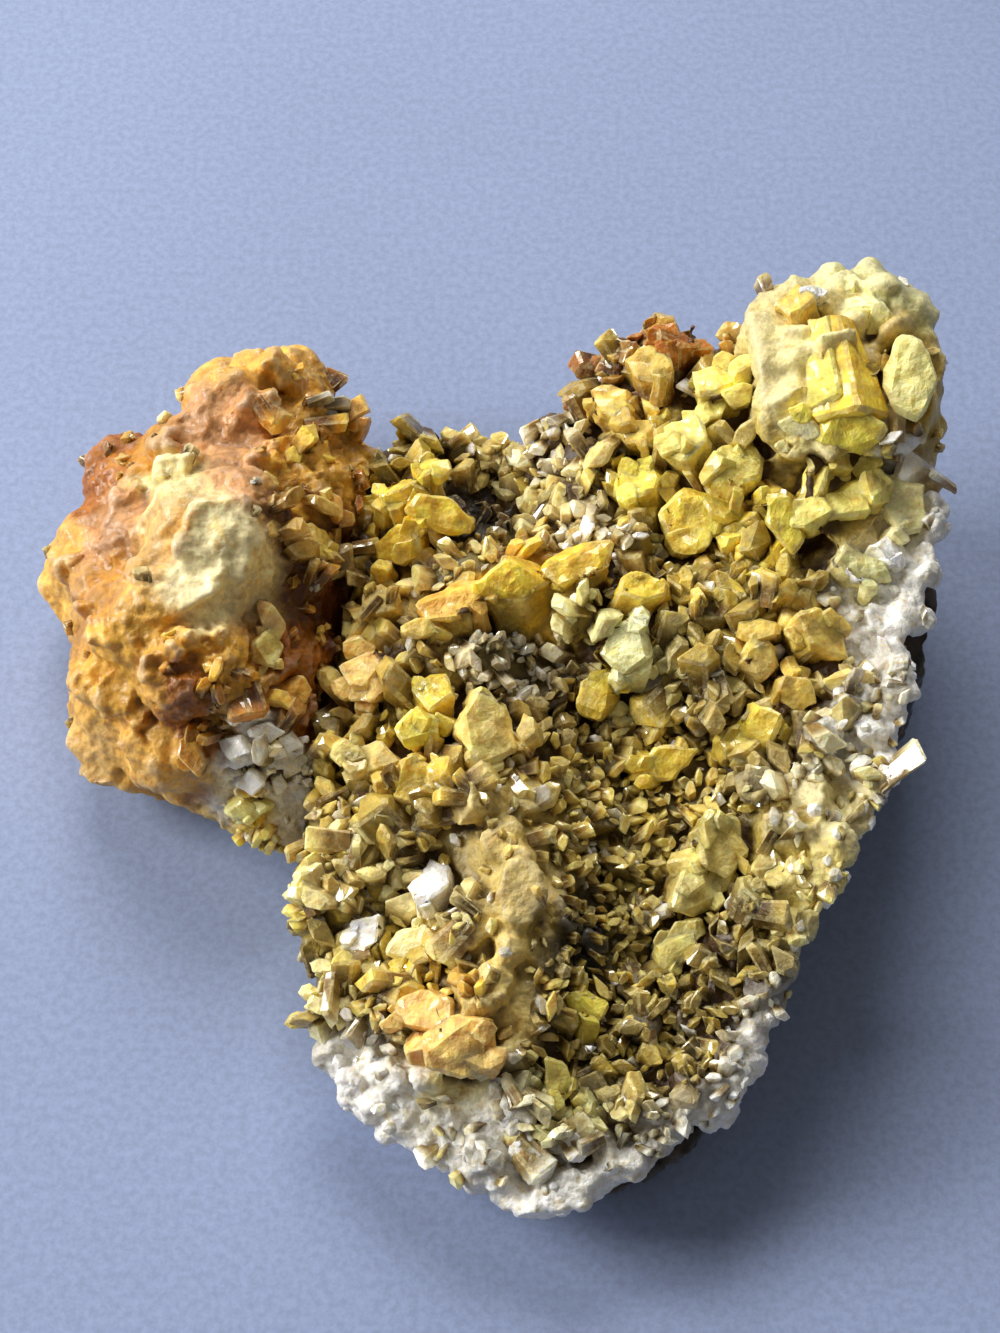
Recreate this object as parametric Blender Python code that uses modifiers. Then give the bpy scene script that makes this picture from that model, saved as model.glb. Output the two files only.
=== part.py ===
"""Pyromorphite specimen: a crust of barrel crystals on a wedge of dark gossan, with a honey-stained lobe.

The crust is a plate that climbs towards its back right corner, where a crown block stands on it. Its
crystals are fused to it. The lobe is a rounded growth that meets the crust along a deep crease. The
gossan under the crust has a flat base, on which the whole specimen rests.
Sizes and places are in millimetres: X to the right, Y to the back, Z up from the resting face.
"""

import math
import random

import bmesh
import bpy
import numpy as np
from mathutils import Euler, Matrix, Vector, noise

MM = 0.001

# Driving sizes
SEAM_HEIGHT = 6.2  # height of the crust's flat underside above the origin
SEAM_SLOPE_X = 0.19  # rise of the underside per millimetre to the right
SEAM_SLOPE_Y = 0.12  # and per millimetre to the back
JOINT_GAP = 0.3  # between solids that were grown against each other
CREASE_POINT = (-12.2, 10.0, 0.0)  # the lobe meets the crust in an upright plane through this point
CREASE_FACING = (0.987, -0.16, 0.0)  # and facing this way, to the right and a little to the front
PLATE = 8.0  # thickness of the flat blank that each form is shaped from
VOXEL = 0.9  # grain of the remeshed forms
CUTTER = 300.0  # side of the boxes that cut the forms flat
ROOT = 2.6  # length of a crystal that is buried in what it grows on
OVERLAP = 1.5  # how far the blanks run past the faces that they are cut back to
ROOT_RADIUS = 0.42  # a crystal's radius at its root, as a share of its width
CAP_RADIUS = 0.52  # and at its cap
UNEVEN = (0.82, 1.14)  # how far a crystal's corners stand out or in, as shares
CAP_SLOPE = 0.3  # steepest slope of a cap

CRUST_TRIANGLES = 1200
LOBE_TRIANGLES = 1700
GOSSAN_TRIANGLES = 600

# Top edge of the crust, round from the back of the crease: x, y, height
CRUST_EDGE = [
    (-10.5, 28.0, 13.0),
    (-5.0, 29.0, 13.5),
    (-0.5, 29.5, 14.0),
    (3.5, 28.0, 14.5),
    (6.5, 30.0, 16.0),
    (11.5, 35.0, 18.5),
    (16.0, 36.5, 20.5),
    (21.5, 33.5, 21.0),
    (24.0, 37.0, 24.5),
    (29.5, 37.5, 25.5),
    (33.5, 38.5, 26.0),
    (37.5, 36.5, 25.0),
    (39.5, 32.0, 23.0),
    (40.0, 26.0, 21.5),
    (38.5, 18.0, 20.5),
    (36.0, 9.0, 18.5),
    (34.5, 2.0, 18.0),
    (32.5, -6.0, 17.0),
    (28.5, -13.0, 15.5),
    (25.5, -18.0, 15.0),
    (22.5, -25.0, 13.0),
    (20.5, -30.0, 11.0),
    (14.0, -35.0, 9.0),
    (6.5, -39.7, 6.5),
    (0.0, -37.2, 6.5),
    (-4.5, -33.5, 6.5),
    (-9.5, -30.5, 7.0),
    (-12.5, -25.5, 7.5),
    (-13.5, -19.5, 8.0),
    (-16.0, -14.0, 8.5),
    (-15.0, -8.0, 9.0),
    (-16.0, 0.0, 9.5),
    (-14.0, 14.0, 10.0),
]

# Ridges, hollows and slopes of the crust's top: x, y, height
CRUST_RELIEF = {
    "crease at the back": (-10.0, 23.5, 11.0),
    "crease in the middle": (-11.5, 13.0, 10.0),
    "crease at the front": (-13.0, 0.0, 10.5),
    "yellow sprays": (-6.0, 21.0, 15.5),
    "dark hollow": (1.0, 22.5, 11.0),
    "back notch": (4.0, 26.0, 13.5),
    "slab ridge, left": (-7.0, 11.5, 15.0),
    "slab ridge, middle": (1.0, 11.5, 17.0),
    "slab ridge, right": (8.5, 14.5, 17.0),
    "hollow in front of the slab": (6.0, 4.5, 12.0),
    "tan blocks, left": (-9.0, 4.0, 14.0),
    "tan blocks, right": (0.5, -2.0, 15.0),
    "round tan crystals": (-6.0, -5.5, 13.0),
    "left field, back": (-10.0, -10.0, 10.5),
    "left field, middle": (-6.5, -17.0, 9.5),
    "left field, front": (-8.5, -24.0, 9.0),
    "cream ridge, head": (2.0, -11.0, 15.0),
    "cream ridge, middle": (2.5, -17.0, 14.5),
    "cream ridge, tail": (0.0, -23.0, 13.0),
    "cream ridge, foot": (-2.0, -28.0, 12.0),
    "valley, head": (13.0, -1.0, 11.5),
    "valley, middle": (11.0, -11.0, 9.5),
    "valley, tail": (12.5, -19.0, 9.0),
    "valley, foot": (10.5, -28.0, 8.0),
    "pale bulge": (11.5, 6.0, 16.5),
    "middle of the field": (18.5, 9.0, 17.0),
    "right of the field": (25.5, 5.0, 16.5),
    "right slope, back": (20.0, -9.0, 13.5),
    "right slope, front": (18.5, -18.0, 12.0),
    "right edge, inside": (28.5, 0.5, 17.0),
    "front bowl": (6.0, -32.0, 8.0),
    "front right corner": (15.5, -29.5, 9.5),
    "brown ridge": (14.5, 31.5, 20.5),
    "yellow mass, back": (18.5, 23.0, 20.5),
    "yellow mass, front": (22.5, 15.5, 19.0),
    "olive mass": (31.0, 14.5, 20.0),
    "foot of the crown, left": (20.5, 27.5, 21.0),
    "foot of the crown, middle": (27.0, 19.0, 20.0),
    "foot of the crown, right": (35.0, 19.5, 20.5),
    "left field, lower middle": (-3.5, -10.5, 12.0),
    "back field": (9.0, 21.0, 15.5),
    "upper field": (13.5, 15.5, 16.5),
}

# The blocks that make the crown on the back right corner: centre, size, turns about X, Y and Z in degrees
CROWN_BLOCKS = {
    "left wall": ((25.0, 27.2, 21.8), (4.6, 11.4, 10.4), (6, 4, 8)),
    "left corner": ((26.4, 33.2, 22.2), (5.6, 5.4, 8.6), (-4, -6, 30)),
    "middle": ((30.4, 26.6, 21.2), (7.6, 9.6, 10.2), (10, -3, -4)),
    "front lip": ((28.4, 22.6, 22.0), (8.4, 3.4, 5.4), (14, 0, 4)),
    "right wall": ((35.4, 26.8, 20.8), (5.4, 9.0, 9.8), (6, 8, -14)),
    "back right": ((34.4, 33.0, 21.2), (7.4, 7.0, 10.0), (-6, 4, 35)),
    "back": ((30.4, 34.0, 21.2), (6.6, 5.8, 10.2), (-8, 0, 15)),
}
CROWN_MIDDLE = (30.4, 29.4)
CROWN_REACH = (9.0, 9.4)  # half its width and half its depth
CROWN_TOP = 26.4
CRUST_LEAN = 0.09  # the crust's walls lean in by this share of their distance from the middle, at the seam
CRUST_MIDDLE = (11.0, 1.0)

# Where each kind of crystal grows on the crust: x, y, width, height above the crust, most lean
CRUST_GROWTHS = {
    "yellow sprays": (-6.0, 19.0, 3.4, 2.0, 38),
    "dark hollow": (1.0, 22.5, 2.6, 0.9, 30),
    "back notch": (6.0, 26.5, 2.8, 1.2, 30),
    "yellow mass": (19.0, 22.0, 4.6, 1.8, 26),
    "olive mass": (31.0, 14.0, 5.0, 1.6, 24),
    "slab ridge": (2.0, 11.0, 4.0, 1.4, 30),
    "middle field": (17.0, 9.0, 3.4, 1.6, 36),
    "tan blocks": (-5.0, -1.0, 4.2, 1.9, 32),
    "left field": (-8.0, -16.0, 3.0, 1.4, 36),
    "cream ridge": (2.0, -18.0, 3.8, 1.2, 24),
    "valley": (11.0, -14.0, 2.6, 1.0, 22),
    "right slope": (21.5, -9.0, 3.6, 1.4, 28),
    "right rim": (33.5, 4.0, 3.4, 1.2, 26),
    "front bowl": (7.0, -31.0, 3.0, 1.4, 36),
}
SPACING = 1.0  # from one scattered crystal's middle to the next, as a share of their width
RIM_SHARE = 0.5  # and from its middle to the outline
TRIES = 9000  # random places that are tried for scattered crystals
WIDTH_SHARES = (0.8, 1.25)  # their widths, as shares of their growth's
RISE_SHARES = (0.7, 1.7)  # how far they rise, as shares of their growth's
STRETCHES = (1.0, 1.5)
CRUST_SEED = 7

# Crystals that stand out. Middle of the cap (x, y, height), width, stretch of the section along its
# turned side, turn in degrees, lean from upright and the compass direction that it leans to
CRUST_FEATURES = {
    "crown, golden": ((30.1, 25.3, 27.9), 5.4, 1.35, 75, 26, -60),
    "crown, golden lip": ((29.4, 22.2, 26.6), 5.6, 1.2, 10, 34, -100),
    "crown, lemon": ((35.3, 25.6, 27.6), 4.6, 1.35, 95, 20, -40),
    "crown, cube": ((26.4, 32.6, 28.0), 3.4, 1.2, 20, 16, 150),
    "crown, back": ((32.4, 33.8, 27.6), 4.2, 1.2, 40, 18, 80),
    "yellow block, back": ((20.2, 28.2, 23.2), 5.6, 1.15, 20, 16, 120),
    "yellow block, left": ((16.8, 23.1, 22.2), 4.6, 1.2, 60, 20, 170),
    "yellow block, right": ((21.9, 20.2, 22.2), 4.2, 1.3, 80, 15, 60),
    "yellow block, front": ((17.6, 16.4, 20.0), 5.0, 1.3, 5, 24, -90),
    "yellow, round": ((13.1, 20.3, 19.6), 4.0, 1.1, 30, 18, 170),
    "yellow, leaning": ((25.0, 14.8, 22.0), 2.8, 2.1, 115, 34, -60),
    "olive mass": ((30.5, 17.0, 22.2), 7.6, 1.15, 50, 14, -80),
    "olive mass, right": ((35.0, 17.2, 21.8), 4.4, 1.4, 85, 24, -10),
    "brown ridge, tall": ((14.4, 30.3, 22.6), 3.2, 1.5, 95, 16, 130),
    "brown ridge, left": ((11.0, 28.0, 20.2), 3.8, 1.3, 70, 24, 150),
    "brown ridge, back": ((17.0, 33.2, 22.6), 4.6, 1.1, 10, 22, 80),
    "brown ridge, foot": ((13.6, 24.6, 20.6), 3.0, 1.2, 40, 20, 170),
    "golden slab, left": ((-1.6, 9.3, 18.2), 3.6, 2.0, 12, 20, 100),
    "golden slab, middle": ((3.2, 10.6, 19.0), 4.0, 1.9, 14, 18, 95),
    "golden slab, right": ((8.2, 12.2, 19.6), 4.0, 1.4, 20, 18, 80),
    "spray, left": ((-7.4, 20.6, 18.0), 3.4, 1.3, 90, 34, 140),
    "spray, middle": ((-5.0, 22.2, 18.6), 3.4, 1.4, 70, 22, 100),
    "spray, right": ((-3.4, 17.2, 18.6), 3.0, 1.9, 120, 30, -50),
    "spray, front": ((-7.4, 15.6, 16.6), 3.6, 1.3, 85, 34, -150),
    "tan block, left": ((-9.4, 3.6, 16.0), 5.2, 1.15, 15, 12, -120),
    "tan block, front": ((-8.9, -3.7, 14.2), 3.8, 1.5, 5, 18, -110),
    "tan block, large": ((0.7, -2.2, 17.2), 5.6, 1.25, 75, 22, -70),
    "lemon": ((-5.3, -1.8, 16.4), 3.4, 1.15, 40, 20, -120),
    "round tan": ((-5.9, -6.0, 15.0), 4.2, 1.0, 0, 14, -100),
    "round yellow": ((-3.9, 1.4, 16.8), 3.4, 1.3, 80, 18, 90),
    "pale green": ((11.9, 4.8, 18.2), 5.2, 1.1, 30, 22, -80),
    "green, round": ((9.6, 1.8, 15.2), 3.2, 1.4, 75, 20, -120),
    "bent yellow": ((15.2, -3.7, 13.4), 3.4, 1.8, 15, 26, -80),
    "orange, leaning": ((13.6, 10.1, 19.2), 3.8, 1.3, 50, 30, 40),
    "tan olive": ((28.3, 5.2, 19.6), 4.0, 1.6, 80, 20, -20),
    "tan, small": ((23.5, 3.9, 18.2), 3.0, 1.4, 75, 26, 20),
    "tan, round": ((25.9, 0.3, 18.2), 3.8, 1.0, 10, 24, -60),
    "olive": ((22.4, -1.8, 16.8), 4.4, 1.35, 70, 24, -150),
    "plate, back": ((19.3, -11.6, 14.8), 4.8, 1.15, 30, 22, -40),
    "plate, middle": ((17.6, -15.2, 13.6), 4.2, 1.2, 10, 26, -60),
    "plate, front": ((15.6, -19.4, 12.0), 4.2, 1.1, 50, 20, -110),
    "whitish, back": ((-4.2, -14.0, 13.2), 3.4, 1.2, 20, 22, 140),
    "whitish, left": ((-9.5, -17.7, 10.8), 2.8, 1.5, 80, 24, -120),
    "whitish, front": ((-5.6, -18.6, 11.6), 3.0, 1.4, 10, 18, -60),
    "golden, front": ((8.7, -23.9, 11.2), 3.4, 1.1, 30, 26, 20),
    "pale, front": ((6.2, -29.8, 10.8), 2.8, 1.5, 85, 20, -60),
    "orange lump": ((-1.6, -28.4, 14.2), 5.2, 1.25, 10, 22, -90),
    "orange lump, left": ((-4.6, -25.4, 13.6), 4.2, 1.2, 60, 26, -150),
    "rim block": ((31.6, 11.0, 20.8), 3.0, 2.0, 85, 20, -10),
    "white, rim": ((34.6, 12.6, 20.4), 3.2, 1.6, 85, 22, 0),
}

# Edge of the lobe, round from the back of the crease: x, y, height
LOBE_EDGE = [
    (-8.0, 26.0, 10.0),
    (-10.0, 30.5, 9.0),
    (-13.5, 33.0, 9.5),
    (-16.0, 37.0, 10.5),
    (-19.5, 39.0, 11.0),
    (-25.0, 39.3, 11.0),
    (-28.2, 36.8, 10.0),
    (-29.2, 32.0, 9.0),
    (-33.0, 29.5, 8.5),
    (-36.8, 25.5, 7.5),
    (-40.0, 21.5, 6.5),
    (-40.0, 17.0, 6.0),
    (-37.0, 12.5, 6.0),
    (-36.8, 7.0, 5.5),
    (-36.5, 2.0, 5.0),
    (-33.0, -1.5, 5.0),
    (-28.0, -2.8, 5.0),
    (-24.0, -5.0, 5.0),
    (-20.5, -7.0, 5.0),
    (-14.5, -7.0, 6.0),
    (-12.0, 5.0, 7.0),
]

LOBE_RELIEF = {
    "knob at the back": (-20.5, 32.5, 17.5),
    "back shoulder": (-13.5, 26.5, 15.0),
    "left shelf": (-31.0, 25.5, 13.5),
    "pit in the shelf": (-33.5, 22.5, 10.5),
    "left knob": (-36.5, 17.0, 11.0),
    "dome, back": (-22.5, 21.0, 20.0),
    "dome, top": (-22.5, 12.0, 22.0),
    "pale patch": (-23.5, 7.0, 21.5),
    "below the patch": (-26.0, 3.5, 18.0),
    "right flank, back": (-16.0, 15.0, 17.5),
    "right flank, front": (-15.5, 7.5, 13.5),
    "front saddle": (-19.5, 1.5, 13.0),
    "front left knob": (-31.5, 3.0, 14.0),
    "front edge": (-24.5, -1.5, 10.5),
    "apron": (-20.0, -4.0, 9.0),
    "apron, right": (-16.0, -3.5, 9.5),
    "crease, front": (-14.5, 1.0, 10.0),
    "crease, middle": (-12.5, 12.0, 11.0),
    "crease, back": (-11.0, 23.0, 12.0),
    "left side": (-31.0, 11.0, 16.0),
    "left side, low": (-34.5, 8.5, 12.0),
}
LOBE_UNDERSIDE = 1.6  # the lobe hangs this far clear of the resting face at its front
LOBE_UNDER_RISE = 0.08  # its underside climbs this much per millimetre to the back
LOBE_LEAN = 0.10  # the lobe's walls lean in by this share of their distance from the middle, at its foot
LOBE_MIDDLE = (-22.0, 15.0)
LUMP_COUNT = 60
LUMP_MARGIN = 0.7  # from a lump's middle to the outline, as a share of its radius
LOBE_SEED = 21
LUMP_SIZES = (2.0, 4.6)  # radii of the rounded lumps
LUMP_PROUD = (-0.75, -0.1)  # their middles above the smooth form of the lobe, as shares of the radius

LOBE_FEATURES = {
    "pale prism, middle": ((-17.8, -1.2, 13.8), 2.2, 1.7, 0, 30, -90),
    "pale prism, right": ((-15.9, -1.6, 13.0), 2.4, 1.1, 30, 26, -40),
    "pale prism, left": ((-20.5, -2.4, 12.6), 2.4, 1.6, 10, 34, -120),
    "pale prism, front": ((-19.2, -4.8, 11.2), 2.2, 1.5, 5, 36, -90),
    "tan block": ((-17.7, 4.9, 16.8), 3.6, 1.1, 20, 30, -40),
    "honey block": ((-15.4, 2.4, 13.4), 3.2, 1.1, 50, 36, -20),
    "yellow foot": ((-20.1, -6.2, 8.8), 3.0, 1.3, 0, 40, -90),
    "honey tooth, left": ((-30.6, 2.2, 15.6), 3.6, 1.2, 30, 30, -120),
    "honey tooth, middle": ((-24.4, 0.4, 15.4), 3.4, 1.2, 60, 34, -90),
    "flank tooth": ((-13.6, 15.2, 15.6), 3.0, 1.4, 80, 40, -10),
}

# Edge of the gossan under the crust
GOSSAN_EDGE = [
    (-9.0, 24.0),
    (0.0, 26.0),
    (8.0, 28.5),
    (16.0, 33.0),
    (26.0, 34.5),
    (35.0, 33.5),
    (37.5, 25.0),
    (38.0, 17.0),
    (38.8, 10.0),
    (37.2, 3.0),
    (33.8, -4.0),
    (29.0, -11.0),
    (25.0, -17.0),
    (21.5, -25.0),
    (19.5, -32.0),
    (15.0, -36.0),
    (9.0, -37.8),
    (1.0, -34.0),
    (-6.0, -30.0),
    (-11.0, -23.0),
    (-11.5, -12.0),
    (-10.0, 0.0),
    (-9.5, 12.0),
]
GOSSAN_LEAN = 0.12  # the gossan's walls lean in by this share of their distance from the middle, at the base
GOSSAN_MIDDLE = (12.0, -2.0)


class Relief:
    """A smooth height over the plane that passes through given spot heights: a thin-plate spline."""

    def __init__(self, spots):
        spots = np.array(spots, float)
        self.places = spots[:, :2]
        count = len(spots)
        bend = self.kernel(self.places)
        plane = np.column_stack([np.ones(count), self.places])
        system = np.block([[bend, plane], [plane.T, np.zeros((3, 3))]])
        solved = np.linalg.solve(system, np.concatenate([spots[:, 2], np.zeros(3)]))
        self.bends, self.plane = solved[:count], solved[count:]

    def kernel(self, points):
        gaps = points[:, None, :] - self.places[None, :, :]
        squares = (gaps**2).sum(axis=2) + 1e-9
        return squares * np.log(squares)

    def __call__(self, x, y):
        points = np.column_stack([np.ravel(x), np.ravel(y)])
        return self.kernel(points) @ self.bends + self.plane[0] + points @ self.plane[1:]

    def height(self, x, y):
        return float(self(x, y)[0])


def seam(x, y):
    """Height of the flat seam between the gossan and the crust."""
    return SEAM_HEIGHT + SEAM_SLOPE_X * x + SEAM_SLOPE_Y * y


def inside(edge, x, y, margin=0.0):
    """Whether a place lies within an outline, and further than a margin from it."""
    found = False
    here = Vector((x, y))
    for start, end in zip(edge, edge[1:] + edge[:1]):
        (x0, y0), (x1, y1) = start, end
        if (y0 > y) != (y1 > y) and x < x0 + (y - y0) * (x1 - x0) / (y1 - y0):
            found = not found
        along = Vector(end) - Vector(start)
        share = min(max((here - Vector(start)).dot(along) / along.length_squared, 0.0), 1.0)
        if (Vector(start) + share * along - here).length < margin:
            return False
    return found


def coordinates(mesh):
    """A mesh's points as rows of x, y, z in millimetres."""
    flat = np.empty(len(mesh.vertices) * 3, np.float32)
    mesh.vertices.foreach_get("co", flat)
    return flat.reshape(-1, 3).astype(float) / MM


def set_coordinates(mesh, points):
    mesh.vertices.foreach_set("co", (points * MM).astype(np.float32).ravel())
    mesh.update()


def principled(name, colour, roughness):
    """A plain Principled material."""
    material = bpy.data.materials.new(name)
    material.use_nodes = True
    shader = material.node_tree.nodes["Principled BSDF"]
    shader.inputs["Base Color"].default_value = (*colour, 1.0)
    shader.inputs["Roughness"].default_value = roughness
    shader.inputs["Metallic"].default_value = 0.0
    material.diffuse_color = (*colour, 1.0)
    return material


def add_object(name, mesh, collection):
    obj = bpy.data.objects.new(name, mesh)
    collection.objects.link(obj)
    return obj


def add_helper(name, mesh, collection):
    """An object that shapes the parts and isn't one."""
    helper = add_object(name, mesh, collection)
    helper.display_type = "WIRE"
    helper.hide_render = True
    return helper


def evaluated_mesh(obj):
    """The object's mesh with its modifiers applied; the object itself is removed."""
    bpy.context.view_layer.update()
    graph = bpy.context.evaluated_depsgraph_get()
    mesh = bpy.data.meshes.new_from_object(obj.evaluated_get(graph))
    bpy.data.objects.remove(obj)
    return mesh


def grained(name, mesh, collection, smoothing):
    """One closed skin of even small faces around everything in a mesh."""
    form = add_object(name, mesh, collection)
    grain = form.modifiers.new("grain", "REMESH")
    grain.mode = "VOXEL"
    grain.voxel_size = VOXEL * MM
    soften = form.modifiers.new("soften", "SMOOTH")
    soften.factor = 0.5
    soften.iterations = smoothing
    return evaluated_mesh(form)


def blank_plate(name, edge, collection):
    """A flat plate with a smooth outline and softened edges, in even small faces."""
    curve = bpy.data.curves.new(name, "CURVE")
    curve.dimensions = "2D"
    curve.fill_mode = "BOTH"
    curve.extrude = PLATE / 2 * MM
    curve.resolution_u = 4
    spline = curve.splines.new("BEZIER")
    spline.bezier_points.add(len(edge) - 1)
    for point, place in zip(spline.bezier_points, edge):
        point.co = (place[0] * MM, place[1] * MM, 0.0)
        point.handle_left_type = point.handle_right_type = "AUTO"
    spline.use_cyclic_u = True
    mesh = evaluated_mesh(add_object(name, curve, collection))
    work = bmesh.new()
    work.from_mesh(mesh)
    bmesh.ops.remove_doubles(work, verts=work.verts, dist=0.01 * MM)
    bmesh.ops.recalc_face_normals(work, faces=work.faces)
    work.to_mesh(mesh)
    work.free()
    return grained(name, mesh, collection, smoothing=4)


def shape_plate(mesh, under, top, middle, lean):
    """Bends a flat plate so that its faces follow two heights, and leans its walls in towards the bottom."""
    points = coordinates(mesh)
    share = np.clip(points[:, 2] / PLATE + 0.5, 0.0, 1.0)
    low = under(points[:, 0], points[:, 1])
    high = top(points[:, 0], points[:, 1])
    points[:, 2] = low * (1.0 - share) + high * share
    shrink = 1.0 - lean * (1.0 - share)[:, None]
    points[:, :2] = middle + (points[:, :2] - middle) * shrink
    set_coordinates(mesh, points)


def roughen(mesh, depth, lump, shift):
    """Moves each point along its normal by fractal noise: depth and lump size in millimetres."""
    points = coordinates(mesh)
    normals = np.empty(len(points) * 3, np.float32)
    mesh.vertex_normals.foreach_get("vector", normals)
    offset = Vector((shift, -shift, shift / 2))
    heights = [noise.fractal(Vector(point) / lump + offset, 0.9, 2.0, 3) for point in points]
    set_coordinates(mesh, points + normals.reshape(-1, 3) * depth * np.array(heights)[:, None])


def thin_out(obj, triangles):
    """Brings an object down to about this many triangles."""
    obj.data.calc_loop_triangles()
    decimate = obj.modifiers.new("thin_out", "DECIMATE")
    decimate.ratio = triangles / len(obj.data.loop_triangles)


def add_crystal(work, cap, axis, width, stretch, turn, length, draw):
    """Adds one uneven prism, thicker at its sloping cap than at its root. The cap's middle is at cap."""
    sides = draw.choice((5, 6, 6))
    corners = bmesh.ops.create_cone(
        work,
        cap_ends=True,
        segments=sides,
        radius1=ROOT_RADIUS * width,
        radius2=CAP_RADIUS * width,
        depth=length,
    )["verts"]
    swell = [draw.uniform(*UNEVEN) for _ in range(sides)]
    slope = Vector((draw.uniform(-CAP_SLOPE, CAP_SLOPE), draw.uniform(-CAP_SLOPE, CAP_SLOPE), 0.0))
    for corner in corners:
        side = round(math.atan2(corner.co.y, corner.co.x) / math.tau * sides) % sides
        corner.co.xy *= swell[side]
        if corner.co.z > 0.0:
            corner.co.z += slope.dot(corner.co)
    place = (
        Matrix.Scale(MM, 4)
        @ Matrix.Translation(cap)
        @ axis.to_track_quat("Z", "Y").to_matrix().to_4x4()
        @ Matrix.Rotation(turn, 4, "Z")
        @ Matrix.Diagonal((stretch, 1.0, 1.0, 1.0))
        @ Matrix.Translation((0.0, 0.0, -length / 2))
    )
    bmesh.ops.transform(work, matrix=place, verts=corners)


def leaning(upright, lean, towards):
    """A direction that leans off another by an angle, towards a compass direction. Angles are in radians."""
    sideways = Vector((math.cos(towards), math.sin(towards), 0.0))
    return (upright.normalized() + math.tan(lean) * sideways).normalized()


def scattered(edge, growths, taken, draw):
    """Random places inside an outline, with their kind of growth, clear of each other and of those taken."""
    low = np.min(edge, axis=0)
    high = np.max(edge, axis=0)
    taken = list(taken)
    found = []
    for _ in range(TRIES):
        x = draw.uniform(low[0], high[0])
        y = draw.uniform(low[1], high[1])
        growth = min(growths, key=lambda g: (g[0] - x) ** 2 + (g[1] - y) ** 2)
        width = growth[2] * draw.uniform(*WIDTH_SHARES)
        clear = all(math.hypot(x - a, y - b) > SPACING * (width + w) / 2 for a, b, w in taken)
        if clear and inside(edge, x, y, margin=RIM_SHARE * width):
            taken.append((x, y, width))
            found.append((x, y, width, *growth[3:]))
    return found


def feature_crystals(work, features, ground, draw):
    """Adds the crystals that stand out, each long enough to be rooted in the ground below its cap."""
    for cap, width, stretch, turn, lean, towards in features.values():
        x, y, z = cap
        length = max(z - ground(x, y), 0.5) + ROOT
        axis = leaning(Vector((0.0, 0.0, 1.0)), math.radians(lean), math.radians(towards))
        add_crystal(work, cap, axis, width, stretch, math.radians(turn), length, draw)


def cut_flat(obj, name, point, facing, collection):
    """Cuts away all of the object that lies beyond a plane, on the side that the plane faces."""
    facing = Vector(facing).normalized()
    mesh = bpy.data.meshes.new(name)
    work = bmesh.new()
    bmesh.ops.create_cube(work, size=CUTTER * MM)
    work.to_mesh(mesh)
    work.free()
    cutter = add_helper(name, mesh, collection)
    cutter.location = (Vector(point) + facing * CUTTER / 2) * MM
    cutter.rotation_mode = "QUATERNION"
    cutter.rotation_quaternion = facing.to_track_quat("Z", "Y")
    cut = obj.modifiers.new(name, "BOOLEAN")
    cut.operation = "DIFFERENCE"
    cut.solver = "EXACT"
    cut.object = cutter


def fuse(obj, name, work, collection):
    """Joins loose crystals to what they grow on."""
    mesh = bpy.data.meshes.new(name)
    work.to_mesh(mesh)
    work.free()
    crystals = add_helper(name, mesh, collection)
    join = obj.modifiers.new(name, "BOOLEAN")
    join.operation = "UNION"
    join.solver = "EXACT"
    join.use_self = True
    join.object = crystals


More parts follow.
